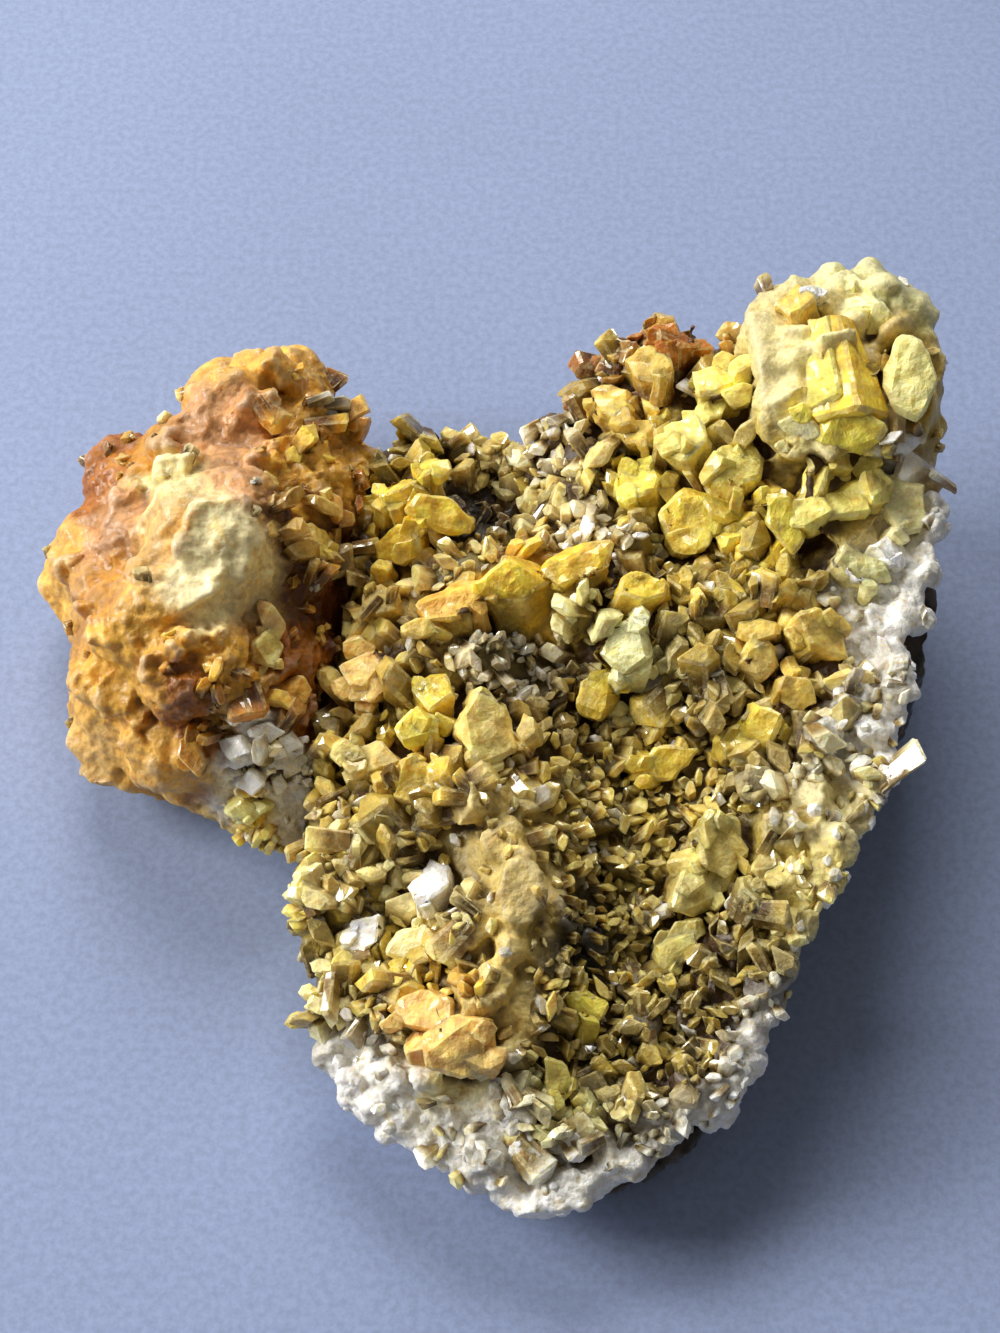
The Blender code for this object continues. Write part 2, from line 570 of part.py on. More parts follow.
def make_crust(parts, helpers):
    top = Relief(CRUST_EDGE + list(CRUST_RELIEF.values()))
    mesh = blank_plate("crystal_crust", CRUST_EDGE, parts)
    shape_plate(mesh, lambda x, y: seam(x, y) - OVERLAP, top, CRUST_MIDDLE, CRUST_LEAN)
    work = bmesh.new()
    work.from_mesh(mesh)
    for centre, size, turns in CROWN_BLOCKS.values():
        block = (
            Matrix.Scale(MM, 4)
            @ Matrix.Translation(centre)
            @ Euler([math.radians(turn) for turn in turns]).to_matrix().to_4x4()
            @ Matrix.Diagonal((*size, 1.0))
        )
        bmesh.ops.create_cube(work, size=1.0, matrix=block)
    work.to_mesh(mesh)
    work.free()
    mesh = grained("crystal_crust", mesh, parts, smoothing=2)
    roughen(mesh, depth=0.8, lump=5.0, shift=3.0)
    crust = add_object("crystal_crust", mesh, parts)
    thin_out(crust, CRUST_TRIANGLES)

    def on_crown(x, y, margin=0.0):
        across = abs(x - CROWN_MIDDLE[0]) - CROWN_REACH[0]
        along = abs(y - CROWN_MIDDLE[1]) - CROWN_REACH[1]
        return max(across, along) < margin

    def ground(x, y):
        return CROWN_TOP if on_crown(x, y) else top.height(x, y)

    work = bmesh.new()
    draw = random.Random(CRUST_SEED)
    feature_crystals(work, CRUST_FEATURES, ground, draw)
    taken = [(cap[0], cap[1], width * stretch) for cap, width, stretch, *_ in CRUST_FEATURES.values()]
    edge = [place[:2] for place in CRUST_EDGE]
    for x, y, width, rise, most_lean in scattered(edge, list(CRUST_GROWTHS.values()), taken, draw):
        if on_crown(x, y, margin=1.0):
            continue
        z = top.height(x, y)
        upright = Vector((z - top.height(x + 1.0, y), z - top.height(x, y + 1.0), 1.0))
        lean = math.radians(most_lean) * math.sqrt(draw.random())
        axis = leaning(upright, lean, draw.uniform(-math.pi, math.pi))
        rise *= draw.uniform(*RISE_SHARES)
        stretch = draw.uniform(*STRETCHES)
        turn = draw.uniform(0.0, math.pi)
        add_crystal(work, (x, y, z + rise), axis, width, stretch, turn, rise + ROOT, draw)
    fuse(crust, "crust_crystals", work, helpers)

    under = Vector((-SEAM_SLOPE_X, -SEAM_SLOPE_Y, 1.0)).normalized()
    floor = Vector((0.0, 0.0, SEAM_HEIGHT)) + under * JOINT_GAP / 2
    cut_flat(crust, "crust_underside", floor, -under, helpers)
    side = Vector(CREASE_FACING)
    cut_flat(crust, "crust_crease", Vector(CREASE_POINT) + side * JOINT_GAP / 2, -side, helpers)
    crust.data.materials.append(principled("olive_yellow_crystal", (0.50, 0.40, 0.10), 0.35))


def make_lobe(parts, helpers):
    top = Relief(LOBE_EDGE + list(LOBE_RELIEF.values()))
    mesh = blank_plate("honey_lobe", LOBE_EDGE, parts)
    front = min(y for _, y, _ in LOBE_EDGE)
    shape_plate(
        mesh, lambda x, y: LOBE_UNDERSIDE + LOBE_UNDER_RISE * (y - front), top, LOBE_MIDDLE, LOBE_LEAN
    )
    work = bmesh.new()
    work.from_mesh(mesh)
    draw = random.Random(LOBE_SEED)
    edge = [place[:2] for place in LOBE_EDGE]
    (left, near), (right, far) = np.min(edge, axis=0), np.max(edge, axis=0)
    placed = 0
    while placed < LUMP_COUNT:
        x = draw.uniform(left, right)
        y = draw.uniform(near, far)
        radius = draw.uniform(*LUMP_SIZES)
        if not inside(edge, x, y, margin=LUMP_MARGIN * radius):
            continue
        z = top.height(x, y) + radius * draw.uniform(*LUMP_PROUD)
        lump = Matrix.Translation(Vector((x, y, z)) * MM)
        bmesh.ops.create_icosphere(work, subdivisions=2, radius=radius * MM, matrix=lump)
        placed += 1
    work.to_mesh(mesh)
    work.free()
    mesh = grained("honey_lobe", mesh, parts, smoothing=2)
    roughen(mesh, depth=0.5, lump=3.5, shift=9.0)
    lobe = add_object("honey_lobe", mesh, parts)
    thin_out(lobe, LOBE_TRIANGLES)

    work = bmesh.new()
    feature_crystals(work, LOBE_FEATURES, top.height, draw)
    fuse(lobe, "lobe_crystals", work, helpers)
    side = Vector(CREASE_FACING)
    cut_flat(lobe, "lobe_crease", Vector(CREASE_POINT) - side * JOINT_GAP / 2, side, helpers)
    lobe.data.materials.append(principled("honey_crystal", (0.62, 0.33, 0.09), 0.4))


def make_gossan(parts, helpers):
    mesh = blank_plate("matrix", GOSSAN_EDGE, parts)
    shape_plate(
        mesh,
        lambda x, y: np.full_like(x, -OVERLAP),
        lambda x, y: seam(x, y) + OVERLAP,
        GOSSAN_MIDDLE,
        GOSSAN_LEAN,
    )
    roughen(mesh, depth=1.3, lump=6.0, shift=31.0)
    gossan = add_object("matrix", mesh, parts)
    thin_out(gossan, GOSSAN_TRIANGLES)
    under = Vector((-SEAM_SLOPE_X, -SEAM_SLOPE_Y, 1.0)).normalized()
    cut_flat(gossan, "gossan_top", Vector((0.0, 0.0, SEAM_HEIGHT)) - under * JOINT_GAP / 2, under, helpers)
    cut_flat(gossan, "gossan_base", (0.0, 0.0, 0.0), (0.0, 0.0, -1.0), helpers)
    side = Vector(CREASE_FACING)
    cut_flat(gossan, "gossan_crease", Vector(CREASE_POINT) + side * JOINT_GAP / 2, -side, helpers)
    gossan.data.materials.append(principled("dark_gossan", (0.045, 0.033, 0.026), 0.75))


def main():
    for obj in list(bpy.data.objects):
        bpy.data.objects.remove(obj)
    parts = bpy.data.collections.new("pyromorphite_specimen")
    helpers = bpy.data.collections.new("cutters")
    bpy.context.scene.collection.children.link(parts)
    bpy.context.scene.collection.children.link(helpers)
    make_crust(parts, helpers)
    make_lobe(parts, helpers)
    make_gossan(parts, helpers)


main()
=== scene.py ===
"""Looks of a pyromorphite specimen: a druse of barrel crystals on gossan, with a honey-stained lobe.

Sizes and places in the tables are in millimetres, X to the right, Y to the back and Z up. Settings that a
user would change are in metres, as Blender keeps them.
"""

import math
import random
from collections import namedtuple

import bmesh
import bpy
import numpy as np
from bpy.props import FloatProperty, FloatVectorProperty, IntProperty, PointerProperty
from mathutils import Matrix, Vector, noise
from mathutils.bvhtree import BVHTree


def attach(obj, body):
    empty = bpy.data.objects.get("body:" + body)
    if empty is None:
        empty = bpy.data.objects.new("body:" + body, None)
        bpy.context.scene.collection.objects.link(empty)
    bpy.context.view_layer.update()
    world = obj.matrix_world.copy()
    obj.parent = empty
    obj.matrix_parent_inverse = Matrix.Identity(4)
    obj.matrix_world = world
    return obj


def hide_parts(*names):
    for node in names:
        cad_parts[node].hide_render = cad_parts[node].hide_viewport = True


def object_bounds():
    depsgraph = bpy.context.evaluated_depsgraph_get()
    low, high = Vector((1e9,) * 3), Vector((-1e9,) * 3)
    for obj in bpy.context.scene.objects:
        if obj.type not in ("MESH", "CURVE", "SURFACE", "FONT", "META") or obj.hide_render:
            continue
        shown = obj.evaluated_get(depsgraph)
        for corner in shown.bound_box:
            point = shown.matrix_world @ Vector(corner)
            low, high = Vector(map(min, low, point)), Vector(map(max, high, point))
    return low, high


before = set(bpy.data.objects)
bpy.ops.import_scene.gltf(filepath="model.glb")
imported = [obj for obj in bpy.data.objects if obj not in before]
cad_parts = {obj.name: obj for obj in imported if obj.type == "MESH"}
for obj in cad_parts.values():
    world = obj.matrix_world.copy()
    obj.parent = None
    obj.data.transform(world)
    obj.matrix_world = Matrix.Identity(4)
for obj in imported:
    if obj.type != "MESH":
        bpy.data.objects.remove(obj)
cad_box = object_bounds()

bl_info = {
    "name": "Pyromorphite Specimen",
    "version": (1, 0, 0),
    "blender": (4, 5, 0),
    "location": "3D View > Sidebar > Specimen",
    "description": "Dresses the specimen's solids with crystals, druse and waxy mineral finishes",
    "category": "Object",
}

MM = 0.001


def shade(red, green, blue):
    """A colour given in the 0 to 255 steps of a screen, as the linear values that shaders take."""
    return tuple((step / 255.0) ** 2.2 for step in (red, green, blue))


# ---------------------------------------------------------------------------------------------------
# Where things grow

Region = namedtuple("Region", "x y ground light dark width field small druse frost")

# Regions of the crust: place, colours of the ground and of the palest and darkest crystals on it, size of
# the crystals as a share, and how densely field crystals, small ones, prisms and rim frost stand there
CRUST_REGIONS = {
    "yellow sprays": Region(-5.9, 19.7, "umber", "mustard", "moss", 1.15, 0.9, 0.7, 0.0, 0.0),
    "sprays, left": Region(-9.9, 19.8, "umber", "gold", "olive", 1.1, 0.9, 0.6, 0.0, 0.0),
    "sprays, back": Region(-5.2, 26.4, "umber", "mustard", "olive", 1.05, 0.9, 0.7, 0.0, 0.0),
    "back edge": Region(0.2, 27.5, "moss", "buff", "tan", 0.85, 0.9, 1.0, 0.0, 0.2),
    "dark hollow": Region(-0.3, 20.6, "soot", "umber", "umber", 0.75, 0.35, 0.3, 0.0, 0.0),
    "behind the slab": Region(-2.3, 13.8, "moss", "cream", "tan", 0.75, 0.8, 0.8, 0.0, 0.0),
    "hollow, right": Region(5.0, 21.9, "umber", "cream", "tan", 0.8, 0.9, 1.0, 0.0, 0.0),
    "notch": Region(6.8, 26.7, "umber", "white", "tan", 0.85, 0.8, 0.9, 0.0, 0.0),
    "brown ridge": Region(14.6, 32.7, "rust", "olive", "amber", 1.0, 0.9, 0.7, 0.0, 0.0),
    "brown ridge, left": Region(10.3, 29.2, "umber", "olive", "amber", 1.0, 0.9, 0.7, 0.0, 0.0),
    "brown ridge, front": Region(13.6, 24.4, "umber", "tan", "mustard", 1.1, 0.9, 0.7, 0.0, 0.0),
    "yellow mass": Region(19.1, 26.0, "straw", "straw", "mustard", 1.35, 0.7, 0.3, 0.0, 0.0),
    "yellow mass, front": Region(17.7, 19.6, "mustard", "straw", "mustard", 1.3, 0.7, 0.4, 0.0, 0.0),
    "round yellow": Region(13.5, 20.5, "umber", "lemon", "mustard", 1.1, 0.8, 0.6, 0.0, 0.0),
    "leaning yellow": Region(25.1, 15.4, "olive", "lemon", "gold", 1.1, 0.7, 0.5, 0.0, 0.0),
    "olive mass": Region(30.6, 18.3, "mustard", "straw", "mustard", 1.2, 0.3, 0.2, 0.0, 0.0),
    "olive mass, right": Region(35.3, 19.1, "white", "white", "mustard", 1.1, 0.3, 0.3, 0.0, 0.1),
    "golden slab": Region(3.2, 10.7, "gold", "gold", "honey", 1.1, 0.0, 0.0, 0.0, 0.0),
    "slab end": Region(8.7, 12.3, "honey", "gold", "tan", 0.9, 0.5, 0.5, 0.0, 0.0),
    "grey field": Region(9.9, 8.7, "olive", "pale_green", "sage", 0.75, 0.9, 1.0, 0.0, 0.0),
    "glinting field": Region(10.0, 14.6, "moss", "white", "tan", 0.8, 0.9, 1.0, 0.0, 0.0),
    "middle field": Region(17.5, 13.1, "olive", "tan", "olive", 1.0, 1.0, 0.8, 0.0, 0.0),
    "middle field, right": Region(21.6, 9.3, "moss", "tan", "mustard", 1.0, 1.0, 0.8, 0.0, 0.0),
    "tan field": Region(26.3, 4.0, "moss", "buff", "tan", 1.1, 1.0, 0.8, 0.0, 0.0),
    "tan field, front": Region(23.8, 0.7, "umber", "buff", "olive", 0.95, 1.0, 0.9, 0.0, 0.0),
    "right rim, back": Region(36.6, 16.3, "white", "white", "white", 0.9, 0.1, 0.3, 0.0, 1.0),
    "right rim": Region(34.2, 8.2, "white", "white", "white", 0.8, 0.05, 0.25, 0.0, 1.0),
    "right rim, middle": Region(31.6, -2.0, "white", "white", "straw", 0.8, 0.3, 0.5, 0.0, 1.0),
    "right rim, front": Region(28.0, -10.0, "cream", "white", "straw", 0.8, 0.3, 0.5, 0.0, 1.0),
    "pale green clump": Region(11.5, 5.3, "olive", "pale_green", "olive", 1.15, 0.9, 0.7, 0.0, 0.0),
    "hollow before the slab": Region(6.6, 2.6, "umber", "tan", "moss", 0.7, 0.2, 0.7, 1.0, 0.0),
    "bluish hollow": Region(4.0, 5.4, "moss", "white", "moss", 0.7, 0.4, 0.7, 0.6, 0.0),
    "tan blocks": Region(-9.4, 3.6, "umber", "buff", "tan", 1.2, 0.7, 0.5, 0.0, 0.0),
    "cream shelf": Region(-7.0, 10.1, "tan", "buff", "tan", 1.1, 0.6, 0.5, 0.0, 0.0),
    "big tan block": Region(0.7, -2.1, "olive", "buff", "tan", 1.1, 0.7, 0.7, 0.0, 0.0),
    "lemon": Region(-5.1, -1.4, "olive", "mustard", "tan", 1.0, 0.7, 0.7, 0.0, 0.0),
    "round tan": Region(-5.9, -6.1, "olive", "tan", "mustard", 1.1, 0.9, 0.7, 0.0, 0.0),
    "left field, back": Region(-11.4, -6.0, "olive", "tan", "olive", 0.95, 1.0, 0.8, 0.0, 0.0),
    "left field": Region(-10.8, -12.7, "olive", "cream", "tan", 0.95, 1.0, 0.8, 0.0, 0.1),
    "left field, front": Region(-10.6, -20.2, "moss", "cream", "olive", 0.95, 1.0, 0.8, 0.0, 0.1),
    "whitish field": Region(-4.2, -15.3, "umber", "cream", "olive", 0.95, 0.9, 0.8, 0.0, 0.0),
    "inner left field": Region(-5.0, -22.0, "umber", "tan", "mustard", 0.9, 0.9, 0.9, 0.0, 0.0),
    "cream ridge, head": Region(1.5, -11.5, "buff", "cream", "tan", 0.8, 0.1, 0.3, 0.0, 0.1),
    "cream ridge": Region(2.3, -18.8, "buff", "cream", "tan", 0.8, 0.1, 0.3, 0.0, 0.1),
    "cream ridge, tail": Region(-0.8, -25.0, "buff", "buff", "honey", 0.9, 0.25, 0.5, 0.0, 0.0),
    "orange lump": Region(-2.2, -28.6, "cream", "cream", "tan", 1.0, 0.15, 0.3, 0.0, 0.0),
    "valley, head": Region(13.2, -4.2, "moss", "sage", "tan", 0.7, 0.25, 0.7, 1.0, 0.0),
    "valley": Region(11.4, -11.8, "moss", "sage", "tan", 0.65, 0.15, 0.7, 1.0, 0.0),
    "valley, middle": Region(12.9, -17.8, "moss", "sage", "tan", 0.65, 0.15, 0.7, 1.0, 0.0),
    "valley, foot": Region(9.5, -23.0, "moss", "sage", "tan", 0.75, 0.4, 0.7, 0.8, 0.0),
    "valley, dark": Region(8.0, -19.0, "soot", "olive", "moss", 0.65, 0.15, 0.4, 0.8, 0.0),
    "right slope": Region(20.1, -12.5, "olive", "sage", "olive", 1.0, 0.5, 0.6, 0.1, 0.0),
    "right slope, front": Region(17.5, -20.2, "umber", "olive", "moss", 0.9, 0.5, 0.7, 0.5, 0.0),
    "lemon rim": Region(26.2, -14.1, "straw", "cream", "straw", 0.9, 0.3, 0.4, 0.0, 0.7),
    "front right": Region(16.5, -27.3, "umber", "olive", "moss", 0.75, 0.4, 0.9, 0.4, 0.1),
    "white rough": Region(20.4, -30.4, "white", "white", "white", 0.8, 0.1, 0.4, 0.0, 1.0),
    "front bowl": Region(8.6, -27.6, "soot", "olive", "moss", 0.85, 0.8, 0.9, 0.2, 0.0),
    "front, pale": Region(6.2, -31.9, "moss", "pale_green", "olive", 0.9, 0.9, 0.8, 0.0, 0.0),
    "left front rim": Region(-8.8, -30.0, "white", "white", "white", 0.9, 0.05, 0.2, 0.0, 1.0),
    "front rim": Region(-0.6, -34.9, "white", "white", "straw", 0.95, 0.1, 0.3, 0.0, 0.9),
    "front tip": Region(7.3, -38.0, "white", "white", "white", 0.9, 0.1, 0.3, 0.0, 1.0),
    "left rim": Region(-14.6, -16.7, "olive", "straw", "olive", 0.9, 0.4, 0.5, 0.0, 0.15),
    "crown": Region(31.0, 29.5, "cream", "cream", "cream", 0.9, 0.0, 0.03, 0.0, 0.0),
    "crown, left wall": Region(24.6, 27.4, "cream", "cream", "straw", 0.9, 0.0, 0.05, 0.0, 0.0),
    "crown, hollow": Region(32.9, 27.6, "tan", "tan", "cream", 0.8, 0.0, 0.3, 0.0, 0.0),
    "crown, botryoidal": Region(34.4, 34.2, "pale_green", "white", "straw", 0.8, 0.0, 0.0, 0.0, 0.15),
    "crown, foot": Region(30.0, 21.4, "cream", "straw", "mustard", 1.0, 0.1, 0.1, 0.0, 0.0),
    "brown wall": Region(38.6, 24.4, "tan", "tan", "amber", 0.9, 0.1, 0.3, 0.0, 0.1),
}

# Regions of the lobe, with the same columns; their druse column is not used
LOBE_REGIONS = {
    "knob at the back": Region(-20.2, 33.4, "apricot", "cream", "apricot", 0.8, 0.05, 0.1, 0.0, 0.0),
    "knob, right": Region(-16.0, 31.0, "honey", "honey", "amber", 0.9, 0.2, 0.4, 0.0, 0.0),
    "back right": Region(-12.0, 29.5, "honey", "honey", "amber", 1.0, 0.4, 0.4, 0.0, 0.0),
    "rose top": Region(-21.4, 25.3, "rose", "buff", "rose", 0.8, 0.05, 0.1, 0.0, 0.0),
    "rose top, left": Region(-25.5, 25.4, "rose", "cream", "rose", 0.8, 0.05, 0.1, 0.0, 0.0),
    "left shoulder": Region(-29.2, 24.0, "caramel", "honey", "rust", 0.8, 0.1, 0.1, 0.0, 0.0),
    "pit, back": Region(-31.8, 26.6, "amber", "tan", "rust", 0.8, 0.1, 0.3, 0.0, 0.0),
    "pit, front": Region(-33.8, 23.6, "amber", "tan", "rust", 0.8, 0.1, 0.3, 0.0, 0.0),
    "left knob": Region(-37.5, 17.9, "apricot", "cream", "apricot", 0.8, 0.1, 0.1, 0.0, 0.0),
    "left shelf": Region(-32.3, 17.3, "rose", "cream", "rose", 0.8, 0.05, 0.1, 0.0, 0.0),
    "cream side": Region(-31.6, 10.6, "caramel", "honey", "amber", 0.8, 0.05, 0.1, 0.0, 0.0),
    "pale shard": Region(-26.7, 19.7, "cream", "white", "buff", 0.8, 0.05, 0.2, 0.0, 0.0),
    "rough tan": Region(-20.5, 18.5, "rose", "buff", "tan", 0.8, 0.1, 0.1, 0.0, 0.0),
    "pale patch": Region(-21.3, 12.9, "celadon", "white", "cream", 0.8, 0.0, 0.0, 0.0, 0.0),
    "pale patch, front": Region(-22.9, 7.7, "celadon", "cream", "buff", 0.8, 0.0, 0.1, 0.0, 0.0),
    "pale patch, left": Region(-26.5, 12.0, "peach", "cream", "buff", 0.8, 0.0, 0.1, 0.0, 0.0),
    "honey front": Region(-31.2, 2.8, "honey", "apricot", "honey", 1.0, 0.15, 0.1, 0.0, 0.0),
    "below the patch": Region(-26.5, 4.0, "honey", "apricot", "honey", 0.9, 0.1, 0.2, 0.0, 0.0),
    "left foot": Region(-33.7, -0.7, "peach", "straw", "peach", 0.8, 0.05, 0.1, 0.0, 0.0),
    "honey middle": Region(-24.4, 0.3, "amber", "honey", "amber", 1.0, 0.3, 0.3, 0.0, 0.0),
    "deep honey": Region(-21.0, 2.3, "honey", "honey", "amber", 1.0, 0.35, 0.3, 0.0, 0.0),
    "right flank": Region(-14.0, 16.8, "rust", "tan", "amber", 1.0, 0.4, 0.5, 0.0, 0.0),
    "right flank, top": Region(-16.6, 20.5, "honey", "buff", "amber", 0.9, 0.3, 0.5, 0.0, 0.0),
    "right flank, low": Region(-13.6, 10.6, "rust", "honey", "amber", 1.0, 0.5, 0.4, 0.0, 0.0),
    "right flank, front": Region(-15.5, 4.2, "amber", "honey", "amber", 1.1, 0.5, 0.3, 0.0, 0.0),
    # the apron's white ground is partly its pale prisms and partly painted light, lifting the shade the lobe casts on
    # it
    "apron": Region(-18.7, -3.5, "white", "white", "cream", 0.8, 0.3, 0.4, 0.5, 0.0),
    "foot": Region(-20.6, -6.6, "gold", "straw", "gold", 0.8, 0.5, 0.5, 0.0, 0.0),
    "front left edge": Region(-28.6, -2.6, "apricot", "straw", "apricot", 0.8, 0.1, 0.1, 0.0, 0.0),
    "yellow tooth": Region(-12.2, 25.4, "honey", "gold", "amber", 1.0, 0.5, 0.4, 0.0, 0.0),
}

CREASE_POINT = (-12.2, 10.0)  # the lobe meets the crust along an upright plane through here
CREASE_FACING = (0.987, -0.16)
VALLEY_FLOW = (0.75, -0.55, 0.35)  # the valley's prisms lean this way
WANDER = 2.2  # how far the borders between regions wander
WANDER_SIZE = 4.0
SHARPNESS = 3.0  # how fast a region's share falls with distance
# the darkening below the cap is painted shade towards the crystal's root
ROOT_SHADE_DEPTH = 5.0  # below its cap a crystal darkens over this depth
CRUST_DEPTH = 5.0  # length of the crystals that stand out on the crust, and on the lobe
LOBE_DEPTH = 4.5
PARTNER_LENGTH = 2.8  # length of the smaller crystals beside each of them
FUSED_DEPTH = 5.0  # length of the blocks that are fused with the ground
FUSED_SEED = 4
SINK = 0.8  # the ground sinks this far where such a crystal stands
LONGEST_EDGE = 0.9  # edges of these crystals are split down to this length, and their faces broken up
SPLIT_ROUNDS = 3
WEDGE_TAPER = 0.5  # a crystal with sides and a length of its own narrows by this share towards its root

# Rounded growths that are fused with the crust: middle and radius
CRUST_LUMPS = {
    "crown, botryoidal": [
        (31.4, 34.4, 26.6, 2.3),
        (33.9, 33.4, 27.2, 2.5),
        (36.4, 33.0, 26.0, 2.2),
        (33.5, 36.0, 25.2, 2.1),
        (36.0, 35.4, 24.4, 1.9),
        (30.2, 35.6, 25.2, 1.8),
        (37.3, 30.4, 25.0, 1.8),
        (34.8, 30.6, 26.8, 1.9),
        (31.8, 31.8, 27.0, 1.8),
        (29.2, 33.4, 26.4, 1.7),
    ],
    "crown, left wall": [
        (24.4, 30.2, 25.8, 1.6),
        (24.2, 27.6, 25.8, 1.5),
        (24.1, 25.0, 25.2, 1.5),
        (24.5, 22.4, 24.6, 1.6),
        (25.0, 32.6, 25.8, 1.5),
        (26.6, 30.2, 26.6, 1.9),
        (26.6, 27.4, 26.6, 1.8),
        (26.5, 24.8, 26.0, 1.8),
        (26.8, 22.6, 25.2, 1.8),
    ],
    "crown, front": [
        (26.6, 21.0, 24.2, 1.7),
        (29.4, 20.4, 24.2, 1.9),
        (32.2, 20.8, 24.0, 1.8),
        (34.8, 21.6, 23.8, 1.7),
    ],
    "cream ridge": [
        (2.0, -10.4, 14.4, 1.7),
        (3.0, -12.8, 14.8, 1.5),
        (3.2, -15.2, 14.6, 1.4),
        (2.6, -17.6, 14.4, 1.5),
        (2.4, -20.0, 14.0, 1.5),
        (1.0, -22.4, 13.4, 1.7),
        (-0.6, -24.8, 13.0, 1.8),
        (-2.4, -27.2, 12.2, 2.1),
        (0.0, -28.6, 12.0, 1.9),
        (-4.0, -29.4, 10.6, 1.6),
    ],
}

# Knobbly rims: a path along the edge, the radii of the knobs and how many there are to a millimetre
RIM_KNOBS = {
    "right rim": (
        [
            (38.0, 19.0, 20.2),
            (36.0, 10.0, 18.6),
            (34.0, 2.0, 17.8),
            (32.0, -6.0, 16.8),
            (28.2, -12.8, 15.2),
            (25.0, -18.0, 14.4),
            (22.0, -25.0, 12.6),
            (20.0, -29.8, 10.8),
        ],
        (0.8, 1.6),
        1.1,
    ),
    "front rim": (
        [(19.4, -30.4, 10.6), (13.4, -34.4, 8.2), (6.5, -38.4, 6.2), (0.0, -36.4, 6.0), (-4.5, -32.9, 6.2)],
        (0.9, 1.7),
        1.0,
    ),
    "left front rim": ([(-4.5, -32.9, 6.2), (-9.2, -29.8, 6.8), (-12.2, -25.0, 7.0)], (1.1, 2.0), 1.0),
    "left rim": ([(-12.2, -25.0, 7.0), (-13.0, -19.0, 7.8), (-15.2, -14.0, 8.2)], (0.8, 1.4), 0.9),
    "back rim": (
        [(39.0, 25.0, 21.0), (38.4, 32.0, 22.6), (33.6, 37.6, 24.8), (24.4, 36.2, 23.6)],
        (0.9, 1.5),
        0.6,
    ),
}

Crystal = namedtuple(
    "Crystal", "cap width stretch turn lean towards light dark partners sides length", defaults=(0, 0, 0.0)
)

